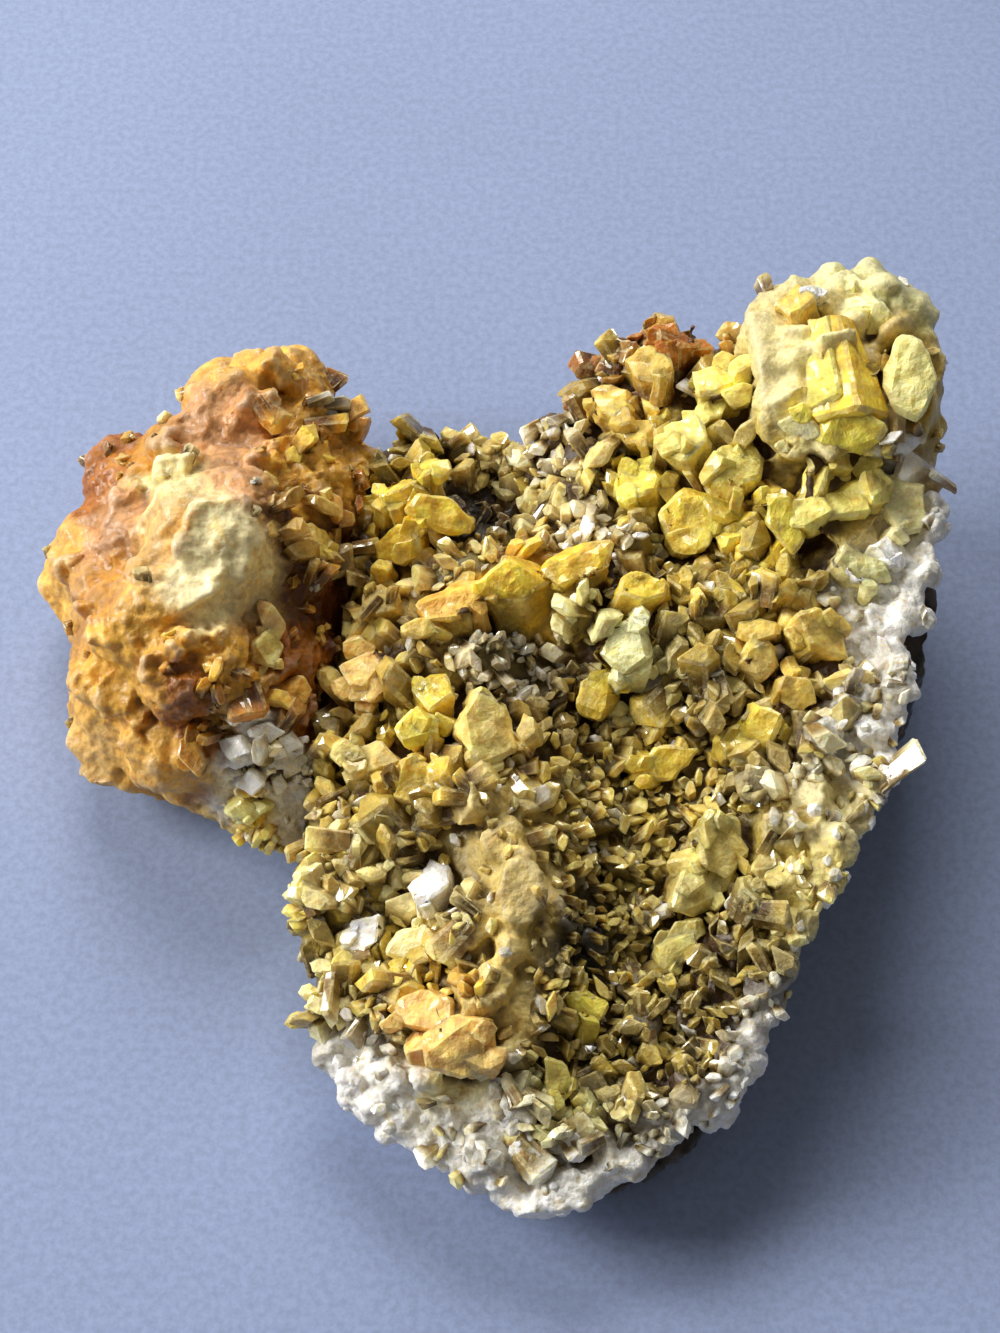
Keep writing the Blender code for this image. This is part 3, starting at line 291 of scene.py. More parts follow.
# Crystals that stand out: middle of the cap with its height over the solid, width, stretch of the section
# along its turned side, turn, lean from upright, compass direction of the lean, colours at the cap and the
# root, number of smaller partners, and sides if they matter
CRUST_CRYSTALS = {
    "crown, golden": Crystal((30.7, 22.0, -0.5), 6.8, 1.1, 0, 104, -84, "gold", "gold", 0, 4, 9.0),
    "crown, golden side": Crystal((29.5, 22.3, -0.5), 6.0, 1.1, 0, 104, -84, "lemon", "pale_lemon", 0, 4, 8.6),
    "crown, golden lip": Crystal((29.8, 20.9, 0.4), 4.4, 1.7, 0, 36, -100, "lemon", "gold", 1),
    "crown, lip left": Crystal((26.4, 21.4, 0.2), 3.6, 1.4, 0, 44, -110, "cream", "straw", 1),
    "crown, lemon": Crystal((35.4, 25.0, 0.7), 4.8, 1.7, 92, 24, -100, "pale_lemon", "pale_lemon", 0, 6),
    "crown, cube": Crystal((26.4, 32.6, 0.4), 3.6, 1.2, 20, 22, 150, "tan", "tan", 0, 4),
    "crown, white": Crystal((27.8, 33.2, 0.2), 1.8, 1.3, 50, 10, 60, "white", "cream", 0),
    "crown, back": Crystal((32.4, 33.8, 0.2), 4.2, 1.2, 40, 18, 80, "pale_green", "straw", 2),
    "yellow block, back": Crystal((20.2, 28.2, 0.2), 5.8, 1.15, 20, 16, 120, "straw", "mustard", 4),
    "yellow block, left": Crystal((16.8, 23.1, 0.2), 4.8, 1.2, 60, 20, 170, "straw", "mustard", 3),
    "yellow block, right": Crystal((21.9, 20.2, 0.2), 4.4, 1.3, 80, 15, 60, "straw", "mustard", 3),
    "yellow block, front": Crystal((17.6, 16.4, 0.2), 5.2, 1.3, 5, 24, -90, "mustard", "olive", 3),
    "yellow, round": Crystal((13.1, 20.3, 0.2), 4.2, 1.1, 30, 18, 170, "lemon", "olive", 2),
    "yellow, leaning": Crystal((25.0, 14.8, 0.2), 3.0, 2.1, 115, 22, -90, "lemon", "gold", 1),
    "olive mass": Crystal((30.5, 17.0, 0.2), 6.6, 1.15, 50, 14, -90, "straw", "mustard", 5),
    "olive mass, right": Crystal((35.4, 16.4, 0.2), 4.0, 1.5, 85, 24, -80, "cream", "pale_green", 2),
    "brown ridge, tall": Crystal((14.4, 30.3, 0.2), 3.4, 1.5, 95, 16, 130, "tan", "amber", 2),
    "brown ridge, left": Crystal((11.0, 28.0, 0.2), 4.0, 1.3, 70, 24, 150, "tan", "amber", 2),
    "brown ridge, back": Crystal((17.0, 33.2, 0.2), 4.6, 1.1, 10, 22, 80, "amber", "rust", 2),
    "brown ridge, foot": Crystal((13.6, 24.6, 0.2), 3.2, 1.2, 40, 20, 170, "tan", "olive", 2),
    "golden slab, left": Crystal((-1.6, 9.3, 0.3), 3.6, 2.2, 12, 12, -80, "apricot", "honey", 2),
    "golden slab, middle": Crystal((3.0, 10.6, 0.4), 4.0, 2.3, 14, 12, -90, "gold", "gold", 0),
    "golden slab, right": Crystal((8.0, 12.2, 0.3), 4.0, 1.7, 20, 12, -90, "gold", "mustard", 1),
    "spray, left": Crystal((-7.4, 20.6, 0.2), 3.6, 1.3, 90, 34, 140, "mustard", "olive", 3),
    "spray, middle": Crystal((-5.0, 22.2, 0.2), 3.6, 1.4, 70, 22, 100, "mustard", "olive", 3),
    "spray, right": Crystal((-3.4, 17.2, 0.2), 3.0, 2.0, 120, 30, -50, "gold", "olive", 1),
    "spray, front": Crystal((-7.4, 15.6, 0.2), 3.8, 1.3, 85, 34, -150, "gold", "amber", 2),
    "tan block, left": Crystal((-9.4, 3.6, 0.2), 5.4, 1.15, 15, 12, -120, "peach", "tan", 4),
    "tan block, front": Crystal((-8.9, -3.7, 0.2), 4.0, 1.5, 5, 18, -110, "buff", "tan", 3),
    "tan block, large": Crystal((0.7, -2.2, 0.2), 5.8, 1.25, 75, 22, -70, "buff", "tan", 2),
    "lemon": Crystal((-5.3, -1.8, 0.2), 3.8, 1.2, 40, 20, -120, "lemon", "gold", 0),
    "round tan": Crystal((-5.9, -6.0, 0.2), 4.2, 1.0, 0, 14, -100, "tan", "olive", 2),
    "round yellow": Crystal((-3.9, 1.4, 0.2), 3.6, 1.3, 80, 18, 90, "mustard", "tan", 2),
    "pale green": Crystal((11.9, 4.8, 0.2), 5.2, 1.1, 30, 22, -80, "pale_green", "olive", 4),
    "green, round": Crystal((9.6, 1.8, 0.2), 3.4, 1.4, 75, 20, -120, "mustard", "moss", 2),
    "bent yellow": Crystal((15.2, -3.7, 0.2), 3.4, 1.8, 15, 26, -80, "mustard", "olive", 2),
    "orange, leaning": Crystal((13.6, 10.1, 0.2), 3.8, 1.3, 50, 30, 40, "gold", "tan", 1),
    "tan olive": Crystal((28.3, 5.2, 0.2), 4.0, 1.6, 80, 20, -20, "tan", "olive", 2),
    "tan, small": Crystal((23.5, 3.9, 0.2), 3.0, 1.4, 75, 26, 20, "buff", "tan", 1),
    "tan, round": Crystal((25.9, 0.3, 0.2), 3.8, 1.0, 10, 24, -60, "tan", "olive", 1),
    "olive": Crystal((22.4, -1.8, 0.2), 4.4, 1.35, 70, 24, -150, "mustard", "moss", 3),
    "plate, back": Crystal((19.3, -11.6, 0.2), 4.8, 1.15, 30, 22, -40, "sage", "olive", 2),
    "plate, middle": Crystal((17.6, -15.2, 0.2), 4.2, 1.2, 10, 26, -60, "sage", "olive", 2),
    "plate, front": Crystal((15.6, -19.4, 0.2), 4.2, 1.1, 50, 20, -110, "sage", "moss", 2),
    "whitish, back": Crystal((-4.2, -14.0, 0.2), 3.6, 1.2, 20, 22, 140, "white", "tan", 1),
    "whitish, left": Crystal((-9.5, -17.7, 0.2), 2.8, 1.5, 80, 24, -120, "white", "olive", 1),
    "whitish, front": Crystal((-5.6, -18.6, 0.2), 3.0, 1.4, 10, 18, -60, "cream", "olive", 1),
    "golden, front": Crystal((8.7, -23.9, 0.2), 3.4, 1.1, 30, 26, 20, "lemon", "olive", 1),
    "pale, front": Crystal((6.2, -29.8, 0.2), 2.8, 1.5, 85, 20, -60, "straw", "mustard", 1),
    "orange lump": Crystal((-1.6, -28.4, 0.2), 5.2, 1.25, 10, 22, -90, "peach", "honey", 2),
    "orange lump, left": Crystal((-4.6, -25.4, 0.2), 4.2, 1.2, 60, 26, -150, "peach", "tan", 2),
    "rim block": Crystal((31.6, 11.0, 0.2), 3.0, 2.0, 85, 20, -10, "pale_green", "sage", 1),
    "white, rim": Crystal((34.6, 12.6, 0.2), 3.2, 1.6, 85, 22, 0, "white", "pale_green", 1),
}

LOBE_CRYSTALS = {
    "pale prism, middle": Crystal((-17.8, -1.2, 0.5), 1.9, 1.7, 0, 40, -90, "white", "buff", 0, 4),
    "pale prism, right": Crystal((-15.9, -1.6, 0.4), 2.0, 1.3, 30, 36, -40, "white", "buff", 1, 4),
    "pale prism, left": Crystal((-20.5, -2.4, 0.6), 2.0, 1.6, 10, 44, -120, "white", "buff", 0, 4),
    "pale prism, front": Crystal((-19.2, -4.8, 0.5), 1.8, 1.5, 5, 46, -90, "white", "tan", 0, 4),
    "pale prism, low": Crystal((-17.0, -3.8, 0.5), 1.5, 1.4, 50, 46, -60, "white", "tan", 0, 4),
    "tan block": Crystal((-17.7, 4.9, 0.4), 3.2, 1.1, 20, 40, -40, "buff", "amber", 2),
    "honey block": Crystal((-15.4, 2.4, 0.4), 2.8, 1.1, 50, 46, -20, "apricot", "amber", 2),
    "yellow foot": Crystal((-20.1, -6.2, 0.4), 2.6, 1.3, 0, 50, -90, "pale_lemon", "gold", 2),
    "flank tooth": Crystal((-13.6, 15.2, 0.4), 3.0, 1.4, 80, 50, -10, "tan", "amber", 2),
}

# Blocks that are fused with the crust and the lobe, in the colours of their regions
CRUST_BLOCKS = {
    "crown, left ridge": Crystal((25.4, 28.6, 0.4), 1.9, 3.4, 85, 24, 180, "cream", "buff", 1, 4),
    "crown, left ridge front": Crystal((24.9, 24.2, 0.4), 1.9, 3.2, 95, 30, 180, "cream", "buff", 1, 4),
    "crown, inner ridge": Crystal((27.0, 26.6, 0.4), 1.8, 3.6, 90, 34, 170, "pale_lemon", "straw", 1, 4),
}

LOBE_BLOCKS = {
    "pale slab": Crystal((-21.6, 12.6, 0.5), 8.0, 1.25, 60, 16, -110, "celadon", "cream", 0, 5),
    "pale slab, front": Crystal((-24.0, 8.4, 0.4), 5.0, 1.5, 50, 30, -120, "celadon", "buff", 1, 5),
    "pale shard": Crystal((-26.6, 19.4, 0.4), 4.0, 1.5, 70, 36, -120, "buff", "tan", 0, 4),
    "upper shard": Crystal((-18.6, 20.4, 0.4), 4.2, 1.2, 120, 36, -40, "celadon", "tan", 1, 5),
    "upper ridge": Crystal((-16.6, 24.0, 0.3), 3.2, 1.8, 110, 44, -20, "apricot", "amber", 2, 4),
    "knob, back": Crystal((-20.6, 31.6, 0.2), 4.6, 1.2, 20, 20, 150, "cream", "apricot", 3),
    "knob, front": Crystal((-21.4, 27.6, 0.2), 3.8, 1.3, 160, 30, 150, "peach", "rose", 3),
    "shoulder": Crystal((-27.6, 25.4, 0.2), 3.8, 1.4, 30, 34, 140, "cream", "rose", 3),
    "left bank": Crystal((-31.0, 20.4, 0.2), 3.6, 1.3, 60, 34, 150, "cream", "tan", 3),
    "left knob": Crystal((-36.4, 17.2, 0.2), 3.2, 1.2, 20, 40, 170, "cream", "peach", 4),
    "side block, back": Crystal((-32.0, 14.2, 0.2), 3.8, 1.3, 100, 34, 190, "peach", "apricot", 3),
    "side block": Crystal((-31.8, 9.8, 0.2), 3.8, 1.4, 80, 34, 190, "apricot", "honey", 3),
    "side block, front": Crystal((-31.0, 5.6, 0.2), 3.4, 1.3, 40, 34, 200, "apricot", "honey", 3),
    "honey tooth, left": Crystal((-30.6, 1.2, 0.3), 4.0, 1.3, 30, 40, -120, "apricot", "honey", 3),
    "honey tooth, middle": Crystal((-26.0, 1.6, 0.3), 3.6, 1.3, 120, 44, -90, "honey", "amber", 3),
    "honey tooth, right": Crystal((-22.4, 3.4, 0.3), 3.4, 1.2, 60, 44, -60, "honey", "amber", 2),
    "left foot": Crystal((-33.2, -0.6, 0.2), 4.2, 1.3, 20, 40, -130, "peach", "apricot", 3),
    "front foot": Crystal((-28.4, -2.6, 0.2), 4.0, 1.5, 160, 44, -110, "apricot", "honey", 3),
    "flank tooth, back": Crystal((-13.2, 20.4, 0.4), 3.2, 1.3, 60, 50, 10, "tan", "amber", 2),
    "flank tooth, middle": Crystal((-15.6, 10.4, 0.3), 3.4, 1.3, 100, 46, -20, "tan", "amber", 3),
}

# ---------------------------------------------------------------------------------------------------
# Settings


def colour_setting(name, description, colour):
    return FloatVectorProperty(
        name=name, description=description, default=shade(*colour), subtype="COLOR", size=3, min=0.0, max=1.0
    )


def length_setting(name, description, millimetres):
    return FloatProperty(
        name=name, description=description, default=millimetres * MM, unit="LENGTH", min=0.0, precision=5
    )


class SpecimenColours(bpy.types.PropertyGroup):
    """Body colours of the minerals, from which the tables above choose."""

    lemon: colour_setting("Lemon", "Purest yellow crystals", (228, 206, 82))
    pale_lemon: colour_setting("Pale lemon", "Pale yellow crystal on the crown", (250, 236, 150))
    gold: colour_setting("Gold", "Golden crystals", (232, 192, 64))
    mustard: colour_setting("Mustard", "Common yellow crystals", (212, 184, 68))
    straw: colour_setting("Straw", "Pale yellow crystals", (228, 208, 112))
    olive: colour_setting("Olive", "Greenish brown crystals", (168, 146, 62))
    moss: colour_setting("Moss", "Dark greenish brown crystals", (126, 110, 54))
    sage: colour_setting("Sage", "Greyish crystals of the right slope", (204, 188, 112))
    pale_green: colour_setting("Pale green", "Whitish green crystals", (232, 226, 160))
    celadon: colour_setting("Celadon", "Waxy green patch on the lobe", (250, 232, 176))
    white: colour_setting("White", "Frosted rims", (254, 252, 244))
    cream: colour_setting("Cream", "Palest warm growths", (248, 232, 164))
    buff: colour_setting("Buff", "Pale brown growths", (222, 196, 116))
    tan: colour_setting("Tan", "Light brown crystals", (206, 176, 84))
    peach: colour_setting("Peach", "Pale orange growths", (224, 180, 104))
    apricot: colour_setting("Apricot", "Light orange growths", (232, 178, 80))
    honey: colour_setting("Honey", "Orange growths", (226, 170, 62))
    caramel: colour_setting("Caramel", "Deep orange growths on the light side", (200, 142, 48))
    amber: colour_setting("Amber", "Deep orange brown growths", (164, 98, 8))
    rose: colour_setting("Rose", "Pinkish tan top of the lobe", (208, 154, 100))
    # rust also colours the lobe's hollows and umber the crust's, as painted shade together with staining
    rust: colour_setting("Rust", "Iron-stained hollows", (108, 58, 2))
    umber: colour_setting("Umber", "Ground in the hollows", (72, 48, 12))
    soot: colour_setting("Soot", "Blackest ground", (34, 26, 14))


class SpecimenSizes(bpy.types.PropertyGroup):
    """Sizes of the growths and the grain of the meshes."""

    crust_grain: length_setting("Crust grain", "Voxel size of the crust's ground", 0.32)
    lobe_grain: length_setting("Lobe grain", "Voxel size of the lobe", 0.26)
    gossan_grain: length_setting("Gossan grain", "Voxel size of the gossan", 0.5)
    field_width: length_setting("Field crystals", "Width of the crystals that cover the crust", 1.95)
    field_spacing: length_setting("Field spacing", "Least distance between field crystals", 1.1)
    small_width: length_setting("Small crystals", "Width of the crystals that fill the gaps", 1.0)
    small_spacing: length_setting("Small spacing", "Least distance between small crystals", 0.8)
    druse_width: length_setting("Valley prisms", "Width of the prisms in the valley", 1.35)
    druse_spacing: length_setting("Valley spacing", "Least distance between valley prisms", 0.85)
    frost_width: length_setting("Frost", "Width of the rough grains on the rims", 1.25)
    frost_spacing: length_setting("Frost spacing", "Least distance between frost grains", 1.2)
    seed: IntProperty(name="Seed", description="Start of every random draw", default=11, min=0)


class SpecimenStage(bpy.types.PropertyGroup):
    """Floor, light and camera."""

    floor_colour: colour_setting("Floor", "Pale blue-grey paper", (145, 160, 197))
    floor_size: length_setting("Floor size", "Side of the paper", 2400.0)
    left_power: FloatProperty(name="Left window", description="Power in watts", default=3.0)
    back_power: FloatProperty(name="Back window", description="Power in watts", default=5.0)
    sky: FloatProperty(name="Sky", description="Strength of the light from all round", default=0.15)
    lens: FloatProperty(name="Lens", description="Focal length in millimetres", default=60.0)


# ---------------------------------------------------------------------------------------------------
# Mesh helpers


def palette(context):
    """Every named colour as an array."""
    colours = context.scene.specimen_colours
    return {name: np.array(getattr(colours, name)) for name in SpecimenColours.__annotations__}


def read_points(mesh):
    """A mesh's points as rows of x, y, z in millimetres."""
    flat = np.empty(len(mesh.vertices) * 3, np.float32)
    mesh.vertices.foreach_get("co", flat)
    return flat.reshape(-1, 3).astype(float) / MM


def write_points(mesh, points):
    mesh.vertices.foreach_set("co", (points * MM).astype(np.float32).ravel())
    mesh.update()


def read_normals(mesh):
    flat = np.empty(len(mesh.vertices) * 3, np.float32)
    mesh.vertex_normals.foreach_get("vector", flat)
    return flat.reshape(-1, 3).astype(float)


def write_values(mesh, name, values):
    attribute = mesh.attributes.new(name, "FLOAT", "POINT")
    attribute.data.foreach_set("value", np.asarray(values, np.float32))


def write_colours(mesh, name, colours):
    attribute = mesh.attributes.new(name, "FLOAT_COLOR", "POINT")
    rows = np.column_stack([colours, np.ones(len(colours))])
    attribute.data.foreach_set("color", rows.astype(np.float32).ravel())


def write_vectors(mesh, name, vectors):
    attribute = mesh.attributes.new(name, "FLOAT_VECTOR", "POINT")
    attribute.data.foreach_set("vector", np.asarray(vectors, np.float32).ravel())


def add_object(name, mesh):
    obj = bpy.data.objects.new(name, mesh)
    bpy.context.scene.collection.objects.link(obj)
    return obj


def settled(obj):
    """The mesh of an object with its modifiers applied; the object itself is removed."""
    bpy.context.view_layer.update()
    graph = bpy.context.evaluated_depsgraph_get()
    mesh = bpy.data.meshes.new_from_object(
        obj.evaluated_get(graph), preserve_all_data_layers=True, depsgraph=graph
    )
    bpy.data.objects.remove(obj)
    return mesh


def finished(name, mesh, material, slot, node=None):
    """A shown piece that moves with the specimen. It may stand for a CAD node."""
    if not mesh.polygons:
        raise RuntimeError(f"{name} came out empty")
    mesh.name = name
    mesh.materials.clear()
    mesh.materials.append(material)
    piece = add_object(name, mesh)
    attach(piece, "root")
    if node:
        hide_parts(node)
    return piece


def along(path, step):
    """Places a step apart along a path."""
    for start, end in zip(path, path[1:]):
        start, end = Vector(start), Vector(end)
        count = max(1, round((end - start).length / step))
        for index in range(count):
            yield start.lerp(end, index / count)


def voxel_skin(name, work, grain, smoothing, share=1.0):
    """A fine closed skin round everything in a working mesh, thinned to a share of its faces."""
    mesh = bpy.data.meshes.new(name)
    work.to_mesh(mesh)
    work.free()
    skin = add_object(name + "_skin", mesh)
    remesh = skin.modifiers.new("grain", "REMESH")
    remesh.mode = "VOXEL"
    remesh.voxel_size = grain
    smooth = skin.modifiers.new("smooth", "SMOOTH")
    smooth.factor = 0.5
    smooth.iterations = smoothing
    if share < 1.0:
        thin = skin.modifiers.new("thin", "DECIMATE")
        thin.ratio = share
    return settled(skin)


def regrown(node, lumps, blocks, grain, smoothing, share=1.0):
    """A fine closed skin round a CAD node's solid, some rounded lumps and a table of fused blocks."""
    work = bmesh.new()
    work.from_mesh(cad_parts[node].data)
    bmesh.ops.remove_doubles(work, verts=work.verts, dist=0.002 * MM)
    for x, y, z, radius in lumps:
        place = Matrix.Translation(Vector((x, y, z)) * MM)
        bmesh.ops.create_icosphere(work, subdivisions=2, radius=radius * MM, matrix=place)
    work.verts.layers.float.new("rise")
    work.verts.layers.int.new("stage")
    work.faces.layers.float.new("edge")
    for vert in work.verts:
        vert[work.verts.layers.int["stage"]] = PLACED
    draw = random.Random(FUSED_SEED)
    for prism in prisms_of(blocks, node, FUSED_SEED):
        place = Matrix.Scale(MM, 4) @ prism.place
        random_prism(work, draw, place, FUSED_DEPTH / prism.width, 0.08, 1, 0.2, 0.35, prism.sides)
    return voxel_skin(node, work, grain, smoothing, share)


def fractal(points, size, shift, octaves=3):
    """Fractal noise at each point, about -1 to 1, with lumps of a size in millimetres."""
    offset = Vector((shift, 2.3 * shift, -1.7 * shift))
    return np.array([noise.fractal(Vector(point) / size + offset, 1.0, 2.0, octaves) for point in points])


def billows(points, size, shift):
    """Rounded swellings with sharp creases between them, 0 in the creases and about 1 on top."""
    offset = Vector((shift, 2.3 * shift, -1.7 * shift))
    nearest = [noise.voronoi(Vector(point) / size + offset)[0][0] for point in points]
    return 1.0 - np.clip(np.array(nearest), 0.0, 1.0) ** 1.5


def crests(points, size, shift):
    """Sharp winding crests, 1 on a crest and about 0 in the bowls between them."""
    offset = Vector((shift, 2.3 * shift, -1.7 * shift))
    return np.array([1.0 - 2.0 * abs(noise.noise(Vector(point) / size + offset)) for point in points])


def relief_of(numbers):
    """How rough each point's region is: massive growths are smooth, fields and rims are not."""
    return np.clip(0.3 + 1.2 * numbers["field"] + numbers["small"] + numbers["frost"], 0.3, 1.0)


def hollows(mesh, passes):
    """How deep each point lies below the mean of its surroundings, in millimetres; hills are negative."""
    points = read_points(mesh)
    normals = read_normals(mesh)
    edges = np.empty(len(mesh.edges) * 2, np.int32)
    mesh.edges.foreach_get("vertices", edges)
    start, end = edges.reshape(-1, 2).T
    count = len(points)
    neighbours = np.bincount(start, minlength=count) + np.bincount(end, minlength=count)
    mean = points.copy()
    for _ in range(passes):
        total = np.empty_like(mean)
        for axis in range(3):
            column = mean[:, axis]
            total[:, axis] = np.bincount(start, column[end], count) + np.bincount(end, column[start], count)
        mean = total / neighbours[:, None]
    return ((mean - points) * normals).sum(axis=1)


def kept_in_box(points, proud=0.25):
    """Points held inside the specimen's own box, or this far outside it at most."""
    low = np.array(cad_box[0]) / MM - proud
    high = np.array(cad_box[1]) / MM + proud
    return np.clip(points, low, high)


def region_shares(regions, points):
    """Share of each region at each point. Near ones count most, and the borders wander."""
    wander = np.array([noise.noise_vector(Vector(point) / WANDER_SIZE) for point in points])[:, :2]
    here = points[:, :2] + WANDER * wander
    places = np.array([(region.x, region.y) for region in regions])
    squares = ((here[:, None, :] - places) ** 2).sum(axis=2) + 0.4
    shares = squares**-SHARPNESS
    return shares / shares.sum(axis=1, keepdims=True)


def paint_regions(mesh, regions, colours):
    """Stores what the regions say at each point of a mesh; returns their numbers by name."""
    regions = list(regions.values())
    shares = region_shares(regions, read_points(mesh))
    for name in ("ground", "light", "dark"):
        rows = np.array([colours[getattr(region, name)] for region in regions])
        write_colours(mesh, name, shares @ rows)
    numbers = {}
    for name in ("width", "field", "small", "druse", "frost"):
        numbers[name] = shares @ np.array([getattr(region, name) for region in regions])
    return numbers


# ---------------------------------------------------------------------------------------------------
# Node helpers


class Graph:
    """A node tree, with a short way to add a node and wire it."""

    def __init__(self, tree):
        self.tree = tree

    def add(self, kind, *inputs, out=0, named=None, **settings):
        """Adds a node and returns one of its outputs. Inputs are values or other nodes' outputs, in order."""
        node = self.tree.nodes.new(kind)
        for name, value in settings.items():
            setattr(node, name, value)
        sockets = [socket for socket in node.inputs if socket.enabled]
        pairs = [(sockets[index], value) for index, value in enumerate(inputs) if value is not None]
        pairs += [(node.inputs[name], value) for name, value in (named or {}).items()]
        for socket, value in pairs:
            if isinstance(value, bpy.types.NodeSocket):
                self.tree.links.new(value, socket)
            else:
                socket.default_value = value
        outputs = [socket for socket in node.outputs if socket.enabled]
        return outputs[out] if outputs else None

    def math(self, operation, *values, clamp=False):
        return self.add("ShaderNodeMath", *values, operation=operation, use_clamp=clamp)

    def mix(self, share, first, second, blend="MIX"):
        return self.add("ShaderNodeMix", share, first, second, data_type="RGBA", blend_type=blend)

    def ramp(self, value, low, high, start=0.0, end=1.0):
        """A value moved smoothly from one range to another."""
        return self.add("ShaderNodeMapRange", value, low, high, start, end, interpolation_type="SMOOTHSTEP")

    def noise(self, place, scale, detail=2.0, roughness=0.55):
        return self.add("ShaderNodeTexNoise", place, scale, detail, roughness)

    def grey(self, value):
        return self.add("ShaderNodeCombineColor", value, value, value)


def node_group(name, kind, inputs, outputs):
    """A new node group with named sockets; returns its graph, and its inputs and outputs by name."""
    tree = bpy.data.node_groups.new(name, kind)
    for socket_name, socket_type, default in inputs:
        socket = tree.interface.new_socket(socket_name, in_out="INPUT", socket_type=socket_type)
        if default is not None:
            socket.default_value = default
    for socket_name, socket_type in outputs:
        tree.interface.new_socket(socket_name, in_out="OUTPUT", socket_type=socket_type)
    entry = tree.nodes.new("NodeGroupInput")
    leave = tree.nodes.new("NodeGroupOutput")
    return Graph(tree), entry.outputs, leave.inputs


def shared_group(name, build):
    """The named shader group, built when it is first asked for."""
    return bpy.data.node_groups.get(name) or build(name)


def crystal_skin_group(name):
    """Colour, roughness and height of a waxy crystal: cloudy inside, darker towards the root as painted shade, and
    paler at its edges, partly wear and partly painted highlight.
    """
    graph, given, made = node_group(
        name,
        "ShaderNodeTree",
        [
            ("Tint", "NodeSocketColor", (0.5, 0.4, 0.2, 1.0)),
            ("Rise", "NodeSocketFloat", 1.0),
            ("Edge", "NodeSocketFloat", 0.0),
            ("Frost", "NodeSocketFloat", 0.3),
            ("Clean", "NodeSocketFloat", 0.8),
        ],
        [
            ("Colour", "NodeSocketColor"),
            ("Roughness", "NodeSocketFloat"),
            ("Height", "NodeSocketFloat"),
            ("Gloss", "NodeSocketFloat"),
        ],
    )
    place = graph.add("ShaderNodeTexCoord", out=3)
    cloud = graph.noise(place, 620.0, 4.0, 0.6)
    speck = graph.noise(place, 2400.0, 3.0, 0.6)
    value = graph.ramp(cloud, 0.3, 0.7, 0.75, 1.45)
    body = graph.mix(1.0, given["Tint"], graph.grey(value), "MULTIPLY")
    flaw = graph.noise(place, 1300.0, 4.0, 0.65)
    warm = graph.mix(1.0, body, (0.85, 0.66, 0.32, 1.0), "MULTIPLY")
    body = graph.mix(graph.ramp(flaw, 0.5, 0.66, 0.0, 0.6), body, warm)
    # painted shade: the crystal darkens towards its root, where it stands among its neighbours
    root = graph.mix(1.0, body, (0.24, 0.17, 0.07, 1.0), "MULTIPLY")
    depth = graph.ramp(given["Rise"], 0.4, 1.0)
    body = graph.mix(depth, root, body)
    # paler along bevelled edges, partly wear and partly painted highlight
    edge_wear_and_highlight = graph.math("MULTIPLY", given["Edge"], graph.ramp(speck, 0.35, 0.7, 0.1, 0.6))
    body = graph.mix(edge_wear_and_highlight, body, (0.88, 0.76, 0.40, 1.0))
    milky = graph.math("MULTIPLY", graph.ramp(flaw, 0.48, 0.3), given["Frost"])
    body = graph.mix(milky, body, (0.82, 0.72, 0.40, 1.0))
    graph.tree.links.new(body, made["Colour"])
    graph.tree.links.new(graph.ramp(speck, 0.3, 0.75, 0.3, 0.6), made["Roughness"])
    height = graph.math("ADD", graph.math("MULTIPLY", speck, 0.7), graph.math("MULTIPLY", flaw, 2.4))
    graph.tree.links.new(height, made["Height"])
    clean = graph.ramp(graph.noise(place, 420.0, 2.0, 0.5), 0.42, 0.52)
    graph.tree.links.new(graph.math("MULTIPLY", clean, given["Clean"]), made["Gloss"])
    return graph.tree


